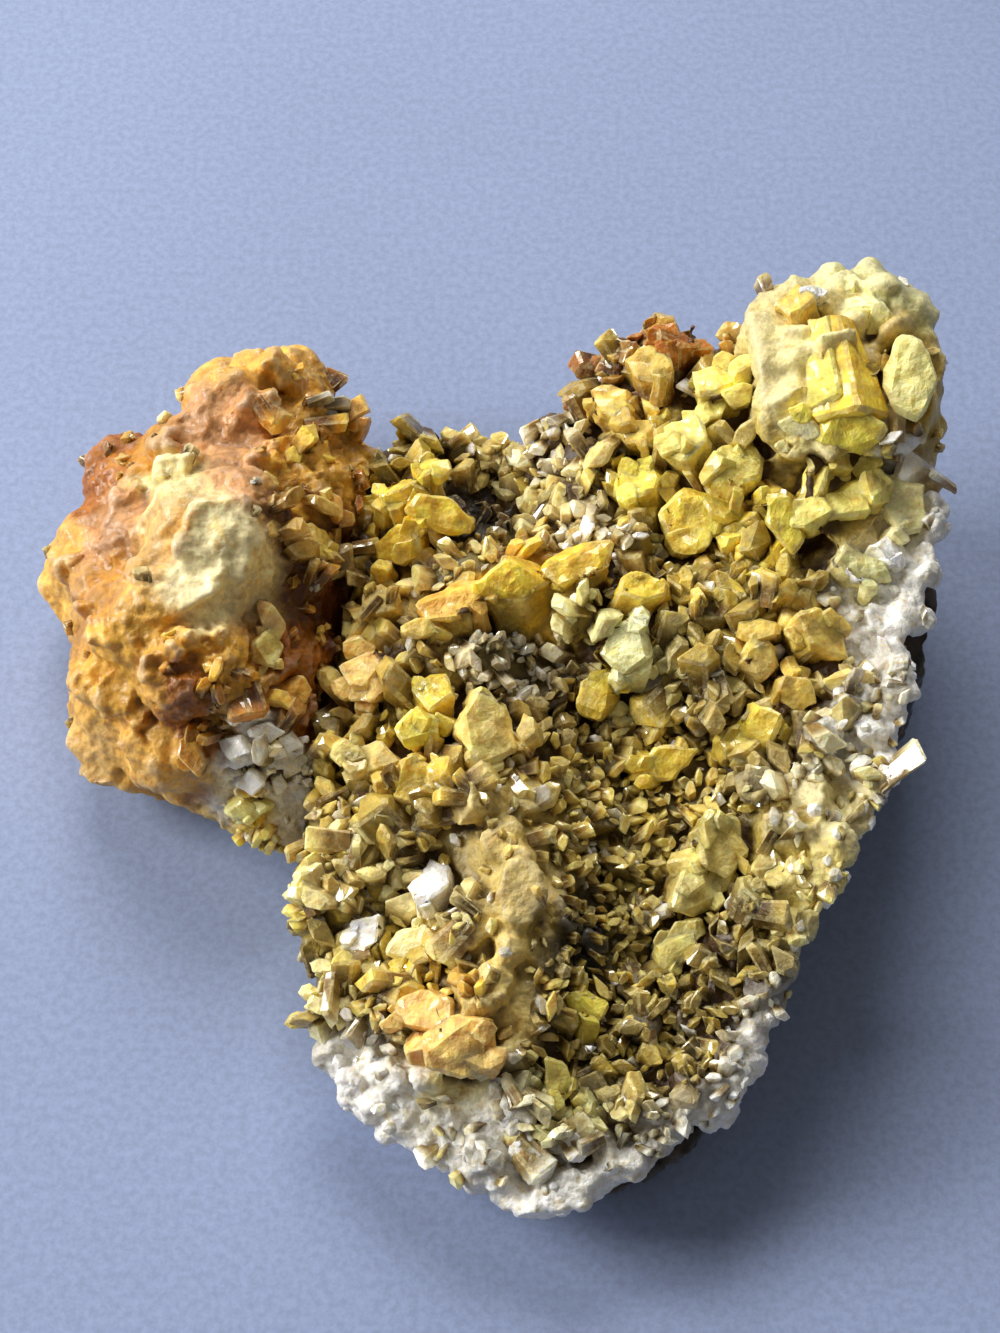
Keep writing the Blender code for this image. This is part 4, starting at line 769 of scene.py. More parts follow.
def mineral_ground_group(name):
    """Colour, roughness and height of massive, grainy mineral, darker in hollows as painted shade with some staining,
    and paler on high spots as painted highlight.
    """
    graph, given, made = node_group(
        name,
        "ShaderNodeTree",
        [
            ("Tint", "NodeSocketColor", (0.5, 0.4, 0.2, 1.0)),
            ("Stain", "NodeSocketColor", (0.05, 0.03, 0.015, 1.0)),
            ("Hollow", "NodeSocketFloat", 0.0),
            ("Grain", "NodeSocketFloat", 1500.0),
            ("Bloom", "NodeSocketFloat", 0.3),
            ("Relief", "NodeSocketFloat", 1.0),
        ],
        [("Colour", "NodeSocketColor"), ("Roughness", "NodeSocketFloat"), ("Height", "NodeSocketFloat")],
    )
    place = graph.add("ShaderNodeTexCoord", out=3)
    cloud = graph.noise(place, 240.0, 5.0, 0.62)
    speck = graph.noise(place, given["Grain"], 4.0, 0.65)
    cells = graph.add("ShaderNodeTexVoronoi", place, given["Grain"], feature="F1")
    value = graph.ramp(cloud, 0.28, 0.74, 0.75, 1.3)
    body = graph.mix(1.0, given["Tint"], graph.grey(value), "MULTIPLY")
    grit = graph.ramp(speck, 0.32, 0.7, 0.78, 1.2)
    body = graph.mix(1.0, body, graph.grey(grit), "MULTIPLY")
    flaw = graph.noise(place, 900.0, 5.0, 0.65)
    warm = graph.mix(1.0, body, (0.8, 0.62, 0.32, 1.0), "MULTIPLY")
    body = graph.mix(graph.ramp(flaw, 0.5, 0.68, 0.0, 0.7), body, warm)
    # painted shade, with some staining: hollows turn towards the shade-and-stain colour
    low = graph.math("ADD", given["Hollow"], graph.math("MULTIPLY", graph.math("SUBTRACT", speck, 0.5), 0.5))
    body = graph.mix(graph.ramp(low, 0.12, 0.75), body, given["Stain"])
    # painted highlight: high spots turn paler
    high = graph.ramp(graph.math("ADD", low, graph.math("MULTIPLY", cloud, 0.3)), -0.15, -0.75)
    pale = graph.mix(0.5, given["Tint"], (1.0, 0.95, 0.8, 1.0))
    body = graph.mix(graph.math("MULTIPLY", high, given["Bloom"]), body, pale)
    graph.tree.links.new(body, made["Colour"])
    graph.tree.links.new(graph.ramp(speck, 0.3, 0.75, 0.32, 0.66), made["Roughness"])
    height = graph.math("SUBTRACT", speck, graph.math("MULTIPLY", cells, 0.7))
    height = graph.math("ADD", graph.math("MULTIPLY", height, given["Relief"]), graph.math("MULTIPLY", flaw, 0.8))
    graph.tree.links.new(height, made["Height"])
    return graph.tree


def new_material(name):
    material = bpy.data.materials.new(name)
    material.use_nodes = True
    shader = material.node_tree.nodes["Principled BSDF"]
    return material, Graph(material.node_tree), shader


def link_skin(graph, shader, group, relief, distance):
    """Feeds a group's colour, roughness and height to the shader."""
    graph.tree.links.new(group.outputs["Colour"], shader.inputs["Base Color"])
    graph.tree.links.new(group.outputs["Roughness"], shader.inputs["Roughness"])
    bump = graph.tree.nodes.new("ShaderNodeBump")
    bump.inputs["Strength"].default_value = relief
    bump.inputs["Distance"].default_value = distance
    graph.tree.links.new(group.outputs["Height"], bump.inputs["Height"])
    graph.tree.links.new(bump.outputs["Normal"], shader.inputs["Normal"])


def waxy(shader, depth, weight, coat):
    """Light that sinks a little way into the mineral, under a thin resinous gloss."""
    shader.inputs["Subsurface Weight"].default_value = weight
    shader.inputs["Subsurface Radius"].default_value = (1.0, 0.72, 0.28)
    shader.inputs["Subsurface Scale"].default_value = depth
    shader.inputs["IOR"].default_value = 1.5
    shader.inputs["Coat Weight"].default_value = coat
    shader.inputs["Coat Roughness"].default_value = 0.06
    shader.inputs["Coat IOR"].default_value = 1.9


def crystal_finish(name, frost, clean):
    """A finish for single crystals, whose own colour is in their tint. Clean faces glint."""
    material, graph, shader = new_material(name)
    group = graph.tree.nodes.new("ShaderNodeGroup")
    group.node_tree = shared_group("Crystal skin", crystal_skin_group)
    tint = graph.add("ShaderNodeAttribute", attribute_name="tint")
    rise = graph.add("ShaderNodeAttribute", attribute_name="rise", out=2)
    edge = graph.add("ShaderNodeAttribute", attribute_name="edge", out=2)
    for socket, value in (("Tint", tint), ("Rise", rise), ("Edge", edge)):
        graph.tree.links.new(value, group.inputs[socket])
    group.inputs["Frost"].default_value = frost
    group.inputs["Clean"].default_value = clean
    link_skin(graph, shader, group, 0.6, 0.2 * MM)
    waxy(shader, 1.1 * MM, 0.45, 0.0)
    graph.tree.links.new(group.outputs["Gloss"], shader.inputs["Coat Weight"])
    return material


def ground_finish(name, shade_and_stain, grain, high_spot_highlight, coat):
    """A finish for massive growths, whose colour is in their ground attribute."""
    material, graph, shader = new_material(name)
    group = graph.tree.nodes.new("ShaderNodeGroup")
    group.node_tree = shared_group("Mineral ground", mineral_ground_group)
    tint = graph.add("ShaderNodeAttribute", attribute_name="ground")
    hollow = graph.add("ShaderNodeAttribute", attribute_name="hollow", out=2)
    graph.tree.links.new(tint, group.inputs["Tint"])
    relief = graph.add("ShaderNodeAttribute", attribute_name="relief", out=2)
    graph.tree.links.new(hollow, group.inputs["Hollow"])
    graph.tree.links.new(relief, group.inputs["Relief"])
    group.inputs["Stain"].default_value = (*shade_and_stain, 1.0)
    group.inputs["Grain"].default_value = grain
    group.inputs["Bloom"].default_value = high_spot_highlight
    link_skin(graph, shader, group, 0.8, 0.3 * MM)
    waxy(shader, 1.0 * MM, 0.3, coat)
    return material


# ---------------------------------------------------------------------------------------------------
# Crystals


LOOSE, PLACED, PAINTED = range(3)  # stages of a crystal's points while it is made


def new_work():
    """An empty mesh whose points know how far up their crystal they are, and whose faces know if they are edges."""
    work = bmesh.new()
    work.verts.layers.float.new("rise")
    work.verts.layers.int.new("stage")
    work.faces.layers.float.new("edge")
    return work


def at_stage(work, number):
    stage = work.verts.layers.int["stage"]
    return [vert for vert in work.verts if vert[stage] == number]


def add_prism(work, place, sides, swell, slope, length, bevel, rings=1):
    """Adds a closed barrel prism whose cap is at the origin of its place and root a length below it."""
    rise = work.verts.layers.float["rise"]
    stage = work.verts.layers.int["stage"]
    edge = work.faces.layers.float["edge"]
    corners = bmesh.ops.create_cone(
        work, cap_ends=True, segments=sides, radius1=0.42, radius2=0.5, depth=length
    )["verts"]
    for corner in corners:
        side = round(math.atan2(corner.co.y, corner.co.x) / math.tau * sides) % sides
        corner.co.xy *= swell[side]
        corner.co.z -= length / 2
        if corner.co.z > -length / 2:
            corner.co.z += slope.dot(corner.co.xy)
    lines = {line for corner in corners for line in corner.link_edges}
    upper = [line for line in lines if max(vert.co.z for vert in line.verts) > -0.7 * length]
    made = bmesh.ops.bevel(
        work, geom=upper, offset=bevel, segments=rings, profile=0.6, affect="EDGES", clamp_overlap=True
    )
    for face in made["faces"]:
        face[edge] = 1.0
    grown = at_stage(work, LOOSE)
    for vert in grown:
        vert[rise] = min(max(1.0 + vert.co.z / length, 0.0), 1.0)
        vert[stage] = PLACED
    bmesh.ops.transform(work, matrix=place, verts=grown)


def random_prism(work, draw, place, length, bevel, rings=1, spread=0.2, slope=0.45, sides=0):
    """An uneven prism with four to six sides and a sloping cap."""
    sides = sides or draw.choice((4, 5, 5, 6))
    swell = [draw.uniform(1.0 - spread, 1.0 + spread) for _ in range(sides)]
    tilt = Vector((draw.uniform(-slope, slope), draw.uniform(-slope, slope)))
    add_prism(work, place, sides, swell, tilt, length, bevel, rings)


def chip(work, draw, height):
    """Breaks a corner off whatever a working mesh holds, near its top."""
    angle = draw.uniform(0.0, math.tau)
    facing = Vector((math.cos(angle), math.sin(angle), draw.uniform(0.4, 1.1))).normalized()
    corner = max(work.verts, key=lambda vert: facing.dot(vert.co)).co
    cut = bmesh.ops.bisect_plane(
        work,
        geom=work.verts[:] + work.edges[:] + work.faces[:],
        plane_co=corner - facing * height,
        plane_no=facing,
        clear_outer=True,
    )
    rim = [part for part in cut["geom_cut"] if isinstance(part, bmesh.types.BMEdge)]
    bmesh.ops.edgeloop_fill(work, edges=rim)


def split_long_edges(work, longest):
    """Cuts the faces of a working mesh into triangles with few sides longer than this."""
    bmesh.ops.triangulate(work, faces=work.faces)
    for _ in range(SPLIT_ROUNDS):
        long_edges = [edge for edge in work.edges if edge.calc_length() > longest]
        bmesh.ops.subdivide_edges(work, edges=long_edges, cuts=1)
        bmesh.ops.triangulate(work, faces=work.faces)


def crystal_forms(name, count, partners, bevel, seed):
    """A hidden collection of crystals one unit wide, their roots below the origin and their caps above it."""
    forms = bpy.data.collections.new(name)
    draw = random.Random(seed)
    for index in range(count):
        work = new_work()
        upright = Matrix.Translation((0.0, 0.0, draw.uniform(0.6, 1.1)))
        stretch = Matrix.Diagonal((draw.uniform(1.1, 1.8), draw.uniform(0.55, 0.9), 1.0, 1.0))
        random_prism(work, draw, upright @ stretch, 1.55, bevel)
        chip(work, draw, draw.uniform(0.15, 0.3))
        for _ in range(draw.choice(partners)):
            angle = draw.uniform(0.0, math.tau)
            size = draw.uniform(0.45, 0.75)
            aside = (0.45 * math.cos(angle), 0.45 * math.sin(angle), draw.uniform(0.1, 0.6))
            tilt = Matrix.Rotation(draw.uniform(-0.5, 0.5), 4, "X") @ Matrix.Diagonal((size, size, 1, 1))
            random_prism(work, draw, Matrix.Translation(aside) @ tilt, 1.3, bevel)
        bmesh.ops.triangulate(work, faces=work.faces)
        for vert in work.verts:
            vert.co += 0.04 * Vector([draw.uniform(-1.0, 1.0) for _ in range(3)])
        mesh = bpy.data.meshes.new(f"{name}_{index}")
        work.to_mesh(mesh)
        work.free()
        forms.objects.link(bpy.data.objects.new(mesh.name, mesh))
    return forms


def rough_forms(name, count, seed):
    """A hidden collection of knobbly grains one unit across."""
    forms = bpy.data.collections.new(name)
    draw = random.Random(seed)
    for index in range(count):
        work = new_work()
        rise = work.verts.layers.float["rise"]
        bmesh.ops.create_icosphere(work, subdivisions=1, radius=0.5)
        for vert in work.verts:
            vert.co *= draw.uniform(0.7, 1.15)
            vert.co.z *= 0.9
            # lower points of a grain get the painted root shade through rise
            vert[rise] = min(max(0.9 + 0.4 * vert.co.z, 0.0), 1.0)
        mesh = bpy.data.meshes.new(f"{name}_{index}")
        work.to_mesh(mesh)
        work.free()
        forms.objects.link(bpy.data.objects.new(mesh.name, mesh))
    return forms


def scatter_group(name):
    """Stands crystals on a surface where one of its attributes says, leaning off its normal."""
    graph, given, made = node_group(
        name,
        "GeometryNodeTree",
        [
            ("Geometry", "NodeSocketGeometry", None),
            ("Where", "NodeSocketString", ""),
            ("Spacing", "NodeSocketFloat", 0.002),
            ("Width", "NodeSocketFloat", 0.002),
            ("Spread", "NodeSocketFloat", 0.3),
            ("Length", "NodeSocketFloat", 1.0),
            ("Lean", "NodeSocketFloat", 0.5),
            ("Flow", "NodeSocketFloat", 0.0),
            ("Whites", "NodeSocketFloat", 0.05),
            ("Forms", "NodeSocketCollection", None),
            ("Finish", "NodeSocketMaterial", None),
            ("Seed", "NodeSocketInt", 0),
        ],
        [("Geometry", "NodeSocketGeometry")],
    )
    graph.tree.is_modifier = True

    def attribute(key, data_type):
        return graph.add("GeometryNodeInputNamedAttribute", key, data_type=data_type)

    def chance(low, high, shift):
        seed = graph.math("ADD", given["Seed"], float(shift))
        return graph.add("FunctionNodeRandomValue", low, high, None, seed, data_type="FLOAT")

    def blend(operation, *values, out=0):
        return graph.add("ShaderNodeVectorMath", *values, operation=operation, out=out)

    spread = graph.tree.nodes.new("GeometryNodeDistributePointsOnFaces")
    spread.distribute_method = "POISSON"
    spread.inputs["Density Max"].default_value = 8.0e6
    for socket, value in (
        ("Mesh", given["Geometry"]),
        ("Distance Min", given["Spacing"]),
        ("Density Factor", attribute(given["Where"], "FLOAT")),
        ("Seed", given["Seed"]),
    ):
        graph.tree.links.new(value, spread.inputs[socket])

    shade_share = chance(0.0, 1.0, 1)
    tint = graph.mix(shade_share, attribute("dark", "FLOAT_COLOR"), attribute("light", "FLOAT_COLOR"))
    # a share of crystals is tinted near white: painted glints on field, small, valley and lobe crystals, real white
    # frost on the rims
    white = graph.math("LESS_THAN", chance(0.0, 1.0, 7), given["Whites"])
    tint = graph.mix(white, tint, (0.9, 0.88, 0.78, 1.0))
    lit = blend("SCALE", tint, None)
    brightness = chance(0.6, 1.7, 2)
    graph.tree.links.new(brightness, lit.node.inputs["Scale"])
    stored = graph.add(
        "GeometryNodeStoreNamedAttribute",
        spread.outputs["Points"],
        None,
        "tint",
        lit,
        data_type="FLOAT_COLOR",
        domain="POINT",
    )

    wild = graph.add(
        "FunctionNodeRandomValue", (-1.0, -1.0, -1.0), (1.0, 1.0, 1.0), data_type="FLOAT_VECTOR"
    )
    graph.tree.links.new(graph.math("ADD", given["Seed"], 3.0), wild.node.inputs["Seed"])
    upward = spread.outputs["Normal"]
    sideways = blend("SUBTRACT", wild, blend("PROJECT", wild, upward))
    leaning = blend("SCALE", sideways)
    graph.tree.links.new(given["Lean"], leaning.node.inputs["Scale"])
    flowing = blend("SCALE", attribute("flow", "FLOAT_VECTOR"))
    graph.tree.links.new(given["Flow"], flowing.node.inputs["Scale"])
    axis = blend("ADD", blend("ADD", upward, leaning), flowing)
    upright = graph.add("FunctionNodeAlignRotationToVector", None, 1.0, axis, axis="Z")
    turn = graph.add("FunctionNodeAxisAngleToRotation", (0.0, 0.0, 1.0), chance(0.0, math.tau, 4))
    turned = graph.add("FunctionNodeRotateRotation", upright, turn, rotation_space="LOCAL")

    low = graph.math("SUBTRACT", 1.0, given["Spread"])
    high = graph.math("ADD", 1.0, given["Spread"])
    size = graph.math("MULTIPLY", given["Width"], chance(low, high, 5))
    size = graph.math("MULTIPLY", size, attribute("width", "FLOAT"))
    tall = graph.math("MULTIPLY", graph.math("MULTIPLY", size, given["Length"]), chance(0.8, 1.25, 6))
    scale = graph.add("ShaderNodeCombineXYZ", size, size, tall)
    forms = graph.add("GeometryNodeCollectionInfo", given["Forms"], True, True)
    grown = graph.add("GeometryNodeInstanceOnPoints", stored, None, forms, True, None, turned, scale)
    solid = graph.add("GeometryNodeRealizeInstances", grown)
    dressed = graph.add("GeometryNodeSetMaterial", solid, None, given["Finish"])
    graph.tree.links.new(dressed, made["Geometry"])
    return graph.tree


def scattered(name, ground, forms, material, **values):
    """The mesh of crystals scattered over a ground mesh."""
    host = add_object(name, ground.copy())
    scatter = host.modifiers.new("scatter", "NODES")
    scatter.node_group = shared_group("Crystal scatter", scatter_group)
    values = {"Forms": forms, "Finish": material, **values}
    for item in scatter.node_group.interface.items_tree:
        if item.in_out == "INPUT" and item.name in values:
            scatter[item.identifier] = values[item.name]
    mesh = settled(host)
    for key in ("ground", "light", "dark", "width", "field", "small", "druse", "frost", "flow", "hollow", "relief"):
        if key in mesh.attributes:
            mesh.attributes.remove(mesh.attributes[key])
    write_points(mesh, kept_in_box(read_points(mesh), proud=0.4))
    return mesh


def leaning(lean, towards):
    """A direction that leans off upright by some degrees, towards a compass direction in degrees."""
    lean, towards = math.radians(lean), math.radians(towards)
    return Vector((math.sin(lean) * math.cos(towards), math.sin(lean) * math.sin(towards), math.cos(lean)))


Prism = namedtuple("Prism", "place width light dark sides length")


def prisms_of(table, node, seed):
    """Every prism of a table, each main one followed by its smaller partners. Places are in millimetres, and
    the caps stand on a node's solid."""
    draw = random.Random(seed)
    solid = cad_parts[node].data
    tree = BVHTree.FromPolygons([v.co for v in solid.vertices], [face.vertices[:] for face in solid.polygons])
    prisms = []
    for name, crystal in table.items():
        x, y, above = crystal.cap
        place = tree.ray_cast(Vector((x, y, 100.0)) * MM, Vector((0.0, 0.0, -1.0)))[0]
        if place is None:
            raise RuntimeError(f"{name} doesn't stand on {node}")
        width = crystal.width
        axis = leaning(crystal.lean, crystal.towards)
        turn = Matrix.Rotation(math.radians(crystal.turn), 4, "Z")
        cap = place / MM + Vector((0.0, 0.0, above))
        stand = Matrix.Translation(cap) @ axis.to_track_quat("Z", "Y").to_matrix().to_4x4() @ turn
        size = Matrix.Diagonal((width * crystal.stretch, width, width, 1.0))
        prisms.append(Prism(stand @ size, width, crystal.light, crystal.dark, crystal.sides, crystal.length))
        for _ in range(crystal.partners + (0 if crystal.sides else 1)):
            angle = draw.uniform(0.0, math.tau)
            small = width * draw.uniform(0.32, 0.6)
            aside = Vector((crystal.stretch * math.cos(angle), math.sin(angle), 0.0))
            aside *= draw.uniform(0.25, 0.5) * width
            aside.z = draw.uniform(-0.22, 0.14) * width
            tilt = Matrix.Rotation(draw.uniform(-0.5, 0.5), 4, "X") @ Matrix.Rotation(draw.uniform(-0.5, 0.5), 4, "Y")
            size = Matrix.Diagonal((small * draw.uniform(1.0, 1.5), small, small, 1.0))
            place = stand @ Matrix.Translation(aside) @ tilt @ size
            prisms.append(Prism(place, small, crystal.light, crystal.dark, 0, PARTNER_LENGTH))
    return prisms


def nearest_prism(prisms, points, above, depth):
    """For each point the number of the prism it belongs to, how far out it is from that prism's axis, with 1
    on the outside, and its height over the cap. A point too far above the cap or below it is outside."""
    nearest = np.zeros(len(points), int)
    reach = np.full(len(points), 99.0)
    height = np.zeros(len(points))
    rows = np.column_stack([points, np.ones(len(points))])
    for number, prism in enumerate(prisms):
        local = rows @ np.array(prism.place.inverted()).T
        over = local[:, 2] * prism.width
        out = np.maximum(np.hypot(local[:, 0], local[:, 1]) / 0.5, 1.0 + over - above)
        out = np.maximum(out, -over / depth)
        closer = out < reach
        nearest[closer] = number
        reach[closer] = out[closer]
        height[closer] = over[closer]
    return nearest, reach, height


def named_crystals(name, table, node, colours, depth, seed):
    """One mesh of all the crystals in a table, each of their prisms chipped and in its own colours."""
    draw = random.Random(seed)
    points, faces, tints, rises, edges = [], [], [], [], []
    for prism in prisms_of(table, node, seed):
        work = new_work()
        length = (prism.length or depth) / prism.width
        random_prism(work, draw, Matrix.Identity(4), length, 0.06, 1, 0.18, 0.35, prism.sides)
        if prism.sides and prism.length:
            for vert in work.verts:
                vert.co.xy *= 1.0 + WEDGE_TAPER * vert.co.z / length
        for _ in range(1 if prism.sides else draw.choice((1, 2, 2))):
            chip(work, draw, draw.uniform(0.06, 0.2))
        bmesh.ops.transform(work, matrix=Matrix.Scale(MM, 4) @ prism.place, verts=work.verts)
        split_long_edges(work, LONGEST_EDGE * MM)
        light = colours[prism.light]
        dark = colours[prism.dark]
        strength = draw.uniform(1.05, 1.35)
        start = len(points)
        local = prism.place.inverted() @ Matrix.Scale(1.0 / MM, 4)
        root_shade_depth = max(ROOT_SHADE_DEPTH, 2.5 * prism.length)
        for index, vert in enumerate(work.verts):
            vert.index = index
            depth_share = min(max(1.0 + (local @ vert.co).z * prism.width / root_shade_depth, 0.0), 1.0)
            points.append(vert.co.copy())
            # rise carries the painted shade at the root into the crystal skin
            rises.append(0.35 + 0.65 * depth_share)
            tints.append((light * depth_share + dark * (1.0 - depth_share)) * strength)
        for face in work.faces:
            faces.append([start + vert.index for vert in face.verts])
            edges.append(face[work.faces.layers.float["edge"]])
        work.free()
    mesh = bpy.data.meshes.new(name)
    mesh.from_pydata(points, [], faces)
    write_values(mesh, "rise", rises)
    write_colours(mesh, "tint", np.array(tints))
    mesh.attributes.new("edge", "FLOAT", "FACE").data.foreach_set("value", edges)
    points = read_points(mesh)
    broken = 0.28 * fractal(points, 1.6, 8.0, 2) + 0.3 * (billows(points, 1.5, 3.0) - 0.6)
    points += read_normals(mesh) * broken[:, None]
    write_points(mesh, kept_in_box(points, proud=0.5))
    mesh.validate()  # drops the few faces that splitting listed twice
    return mesh


# ---------------------------------------------------------------------------------------------------
# Operators


def rim_lumps(draw):
    """Knobs of random size along the rims."""
    for path, radii, crowding in RIM_KNOBS.values():
        for place in along(path, 1.0 / crowding):
            radius = draw.uniform(*radii)
            jitter = [draw.uniform(-0.7, 0.7) for _ in range(3)]
            yield (*(place + Vector(jitter)), radius)


class SPECIMEN_OT_crust_ground(bpy.types.Operator):
    """Massive mineral of the crust that its crystals stand on"""

    bl_idname = "specimen.crust_ground"
    bl_label = "Crust ground"

    def execute(self, context):
        sizes = context.scene.specimen_sizes
        draw = random.Random(sizes.seed)
        lumps = [lump for group in CRUST_LUMPS.values() for lump in group]
        lumps += rim_lumps(draw)
        mesh = regrown("crystal_crust", lumps, CRUST_BLOCKS, sizes.crust_grain, 4, 0.62)
        numbers = paint_regions(mesh, CRUST_REGIONS, palette(context))
        points = read_points(mesh)
        normals = read_normals(mesh)
        relief = relief_of(numbers)
        rough = relief * (0.35 * fractal(points, 2.2, 3.0) + 0.12 * fractal(points, 0.7, 6.0, 2))
        rough += numbers["frost"] * (0.7 * (billows(points, 1.5, 2.0) - 0.6) + 0.35 * (billows(points, 0.8, 4.0) - 0.6))
        prisms = prisms_of(CRUST_CRYSTALS, "crystal_crust", sizes.seed)
        clear = np.clip((nearest_prism(prisms, points, 1.0, CRUST_DEPTH)[1] - 0.8) / 0.5, 0.0, 1.0)
        rough -= SINK * (1.0 - clear)
        points = kept_in_box(points + normals * rough[:, None])
        write_points(mesh, points)

        upward = np.clip((normals[:, 2] - 0.3) / 0.3, 0.0, 1.0)
        outward = np.clip((normals[:, 2] + 0.75) / 0.4, 0.0, 1.0)
        aside = (points[:, 0] - CREASE_POINT[0]) * CREASE_FACING[0]
        aside += (points[:, 1] - CREASE_POINT[1]) * CREASE_FACING[1]
        top = np.clip((29.2 - points[:, 2]) / 0.8, 0.0, 1.0) * (aside > 0.8)
        write_values(mesh, "width", numbers["width"])
        write_values(mesh, "field", (1.25 * numbers["field"] - 0.25) * upward * clear * top)
        write_values(mesh, "small", (1.2 * numbers["small"] - 0.2) * upward * clear * top)
        write_values(mesh, "druse", numbers["druse"] * upward * clear)
        write_values(mesh, "frost", 0.25 * np.clip(numbers["frost"], 0.0, 1.0) * outward * top)
        # painted shade, with some staining: the ground darkens in hollows and where field crystals stand, less so on
        # frosted rims
        stained = np.clip(hollows(mesh, 40) / 0.9, -1.0, 1.0) + 0.75 * numbers["field"] - 0.2 - numbers["frost"]
        write_values(mesh, "hollow", stained)
        write_values(mesh, "relief", relief)
        write_vectors(mesh, "flow", np.tile(VALLEY_FLOW, (len(points), 1)))
        mesh.shade_smooth()
        material = ground_finish("crust_ground", context.scene.specimen_colours.umber, 1500.0, 0.25, 0.05)
        finished("crust_ground", mesh, material, "olive_yellow_crystal", "crystal_crust")
        return {"FINISHED"}


class SPECIMEN_OT_crust_crystals(bpy.types.Operator):
    """Field crystals, small fillers, valley prisms and rim frost of the crust"""

    bl_idname = "specimen.crust_crystals"
    bl_label = "Crust crystals"

    def execute(self, context):
        sizes = context.scene.specimen_sizes
        ground = bpy.data.objects["crust_ground"].data
        finish = crystal_finish("crust_crystal", 0.35, 0.8)
        blocks = crystal_forms("field_forms", 9, (0, 0, 1, 1, 2), 0.1, sizes.seed)
        chips = crystal_forms("small_forms", 6, (0,), 0.09, sizes.seed + 1)
        grains = rough_forms("frost_forms", 5, sizes.seed + 2)
        # the last column is the share of near-white crystals: painted glints, except on the rims, where it is white
        # frost
        layers = {
            "field_crystals": (blocks, "field", sizes.field_spacing, sizes.field_width, 0.4, 1.0, 0.9, 0.0, 0.0),
            "small_crystals": (chips, "small", sizes.small_spacing, sizes.small_width, 0.35, 1.0, 1.0, 0.0, 0.12),
            "valley_prisms": (chips, "druse", sizes.druse_spacing, sizes.druse_width, 0.35, 1.4, 0.7, 0.9, 0.05),
            "rim_frost": (grains, "frost", sizes.frost_spacing, sizes.frost_width, 0.5, 0.8, 0.9, 0.0, 0.9),
        }
        for index, (name, layer) in enumerate(layers.items()):
            forms, where, spacing, width, spread, length, lean, flow, whites_and_glints = layer
            mesh = scattered(
                name,
                ground,
                forms,
                finish,
                Where=where,
                Spacing=spacing,
                Width=width,
                Spread=spread,
                Length=length,
                Lean=lean,
                Flow=flow,
                Whites=whites_and_glints,
                Seed=sizes.seed + 10 * index,
            )
            finished(name, mesh, finish, "olive_yellow_crystal")
        return {"FINISHED"}


class SPECIMEN_OT_named_crystals(bpy.types.Operator):
    """Crystals that stand out on the crust and the lobe"""

    bl_idname = "specimen.named_crystals"
    bl_label = "Named crystals"

    def execute(self, context):
        sizes = context.scene.specimen_sizes
        colours = palette(context)
        finish = crystal_finish("named_crystal", 0.3, 0.3)
        for name, table, node, depth, slot in (
            ("crust_named_crystals", CRUST_CRYSTALS, "crystal_crust", CRUST_DEPTH, "olive_yellow_crystal"),
            ("lobe_named_crystals", LOBE_CRYSTALS, "honey_lobe", LOBE_DEPTH, "honey_crystal"),
        ):
            mesh = named_crystals(name, table, node, colours, depth, sizes.seed)
            finished(name, mesh, finish, slot)
        return {"FINISHED"}


class SPECIMEN_OT_lobe(bpy.types.Operator):
    """Massive honey-stained lobe with its own small crystals"""

    bl_idname = "specimen.lobe"
    bl_label = "Lobe"

    def execute(self, context):
        sizes = context.scene.specimen_sizes
        mesh = regrown("honey_lobe", [], LOBE_BLOCKS, sizes.lobe_grain, 3)
        numbers = paint_regions(mesh, LOBE_REGIONS, palette(context))
        points = read_points(mesh)
        normals = read_normals(mesh)
        relief = relief_of(numbers)
        rough = 0.45 * fractal(points, 3.0, 4.0) + 0.5 * (billows(points, 3.2, 1.0) - 0.6)
        rough += relief * (0.35 * (crests(points, 1.5, 5.0) - 0.5) + 0.2 * (crests(points, 0.7, 2.0) - 0.5))
        prisms = prisms_of(LOBE_CRYSTALS, "honey_lobe", sizes.seed)
        clear = np.clip((nearest_prism(prisms, points, 1.0, LOBE_DEPTH)[1] - 0.8) / 0.5, 0.0, 1.0)
        rough -= SINK * (1.0 - clear)
        points = kept_in_box(points + normals * rough[:, None])
        write_points(mesh, points)
        upward = np.clip((normals[:, 2] + 0.2) / 0.4, 0.0, 1.0)
        write_values(mesh, "width", numbers["width"])
        write_values(mesh, "field", 0.5 * numbers["field"] ** 1.5 * upward * clear)
        write_values(mesh, "small", 0.45 * numbers["small"] ** 1.5 * upward * clear)
        # hollow drives the painted shade in the lobe's hollows
        write_values(mesh, "hollow", np.clip(hollows(mesh, 40) / 0.9, -1.0, 1.0) - 0.1)
        write_values(mesh, "relief", relief)
        write_vectors(mesh, "flow", np.zeros((len(points), 3)))
        mesh.shade_smooth()
        material = ground_finish("honey_lobe", context.scene.specimen_colours.rust, 1300.0, 0.5, 0.1)
        lobe = finished("lobe_mass", mesh, material, "honey_crystal", "honey_lobe")
        finish = crystal_finish("lobe_crystal", 0.3, 0.5)
        blocks = crystal_forms("lobe_forms", 6, (0, 1, 1, 2), 0.09, sizes.seed + 3)
        for name, where, spacing, width in (
            ("lobe_crystals", "field", 1.5 * MM, 2.2 * MM),
            ("lobe_grains", "small", 0.9 * MM, 1.1 * MM),
        ):
            grown = scattered(
                name,
                lobe.data,
                blocks,
                finish,
                Where=where,
                Spacing=spacing,
                Width=width,
                Spread=0.35,
                Length=0.8,
                Lean=0.7,
                Flow=0.0,
                Whites=0.04,
                Seed=sizes.seed + 50,
            )
            finished(name, grown, finish, "honey_crystal")
        return {"FINISHED"}


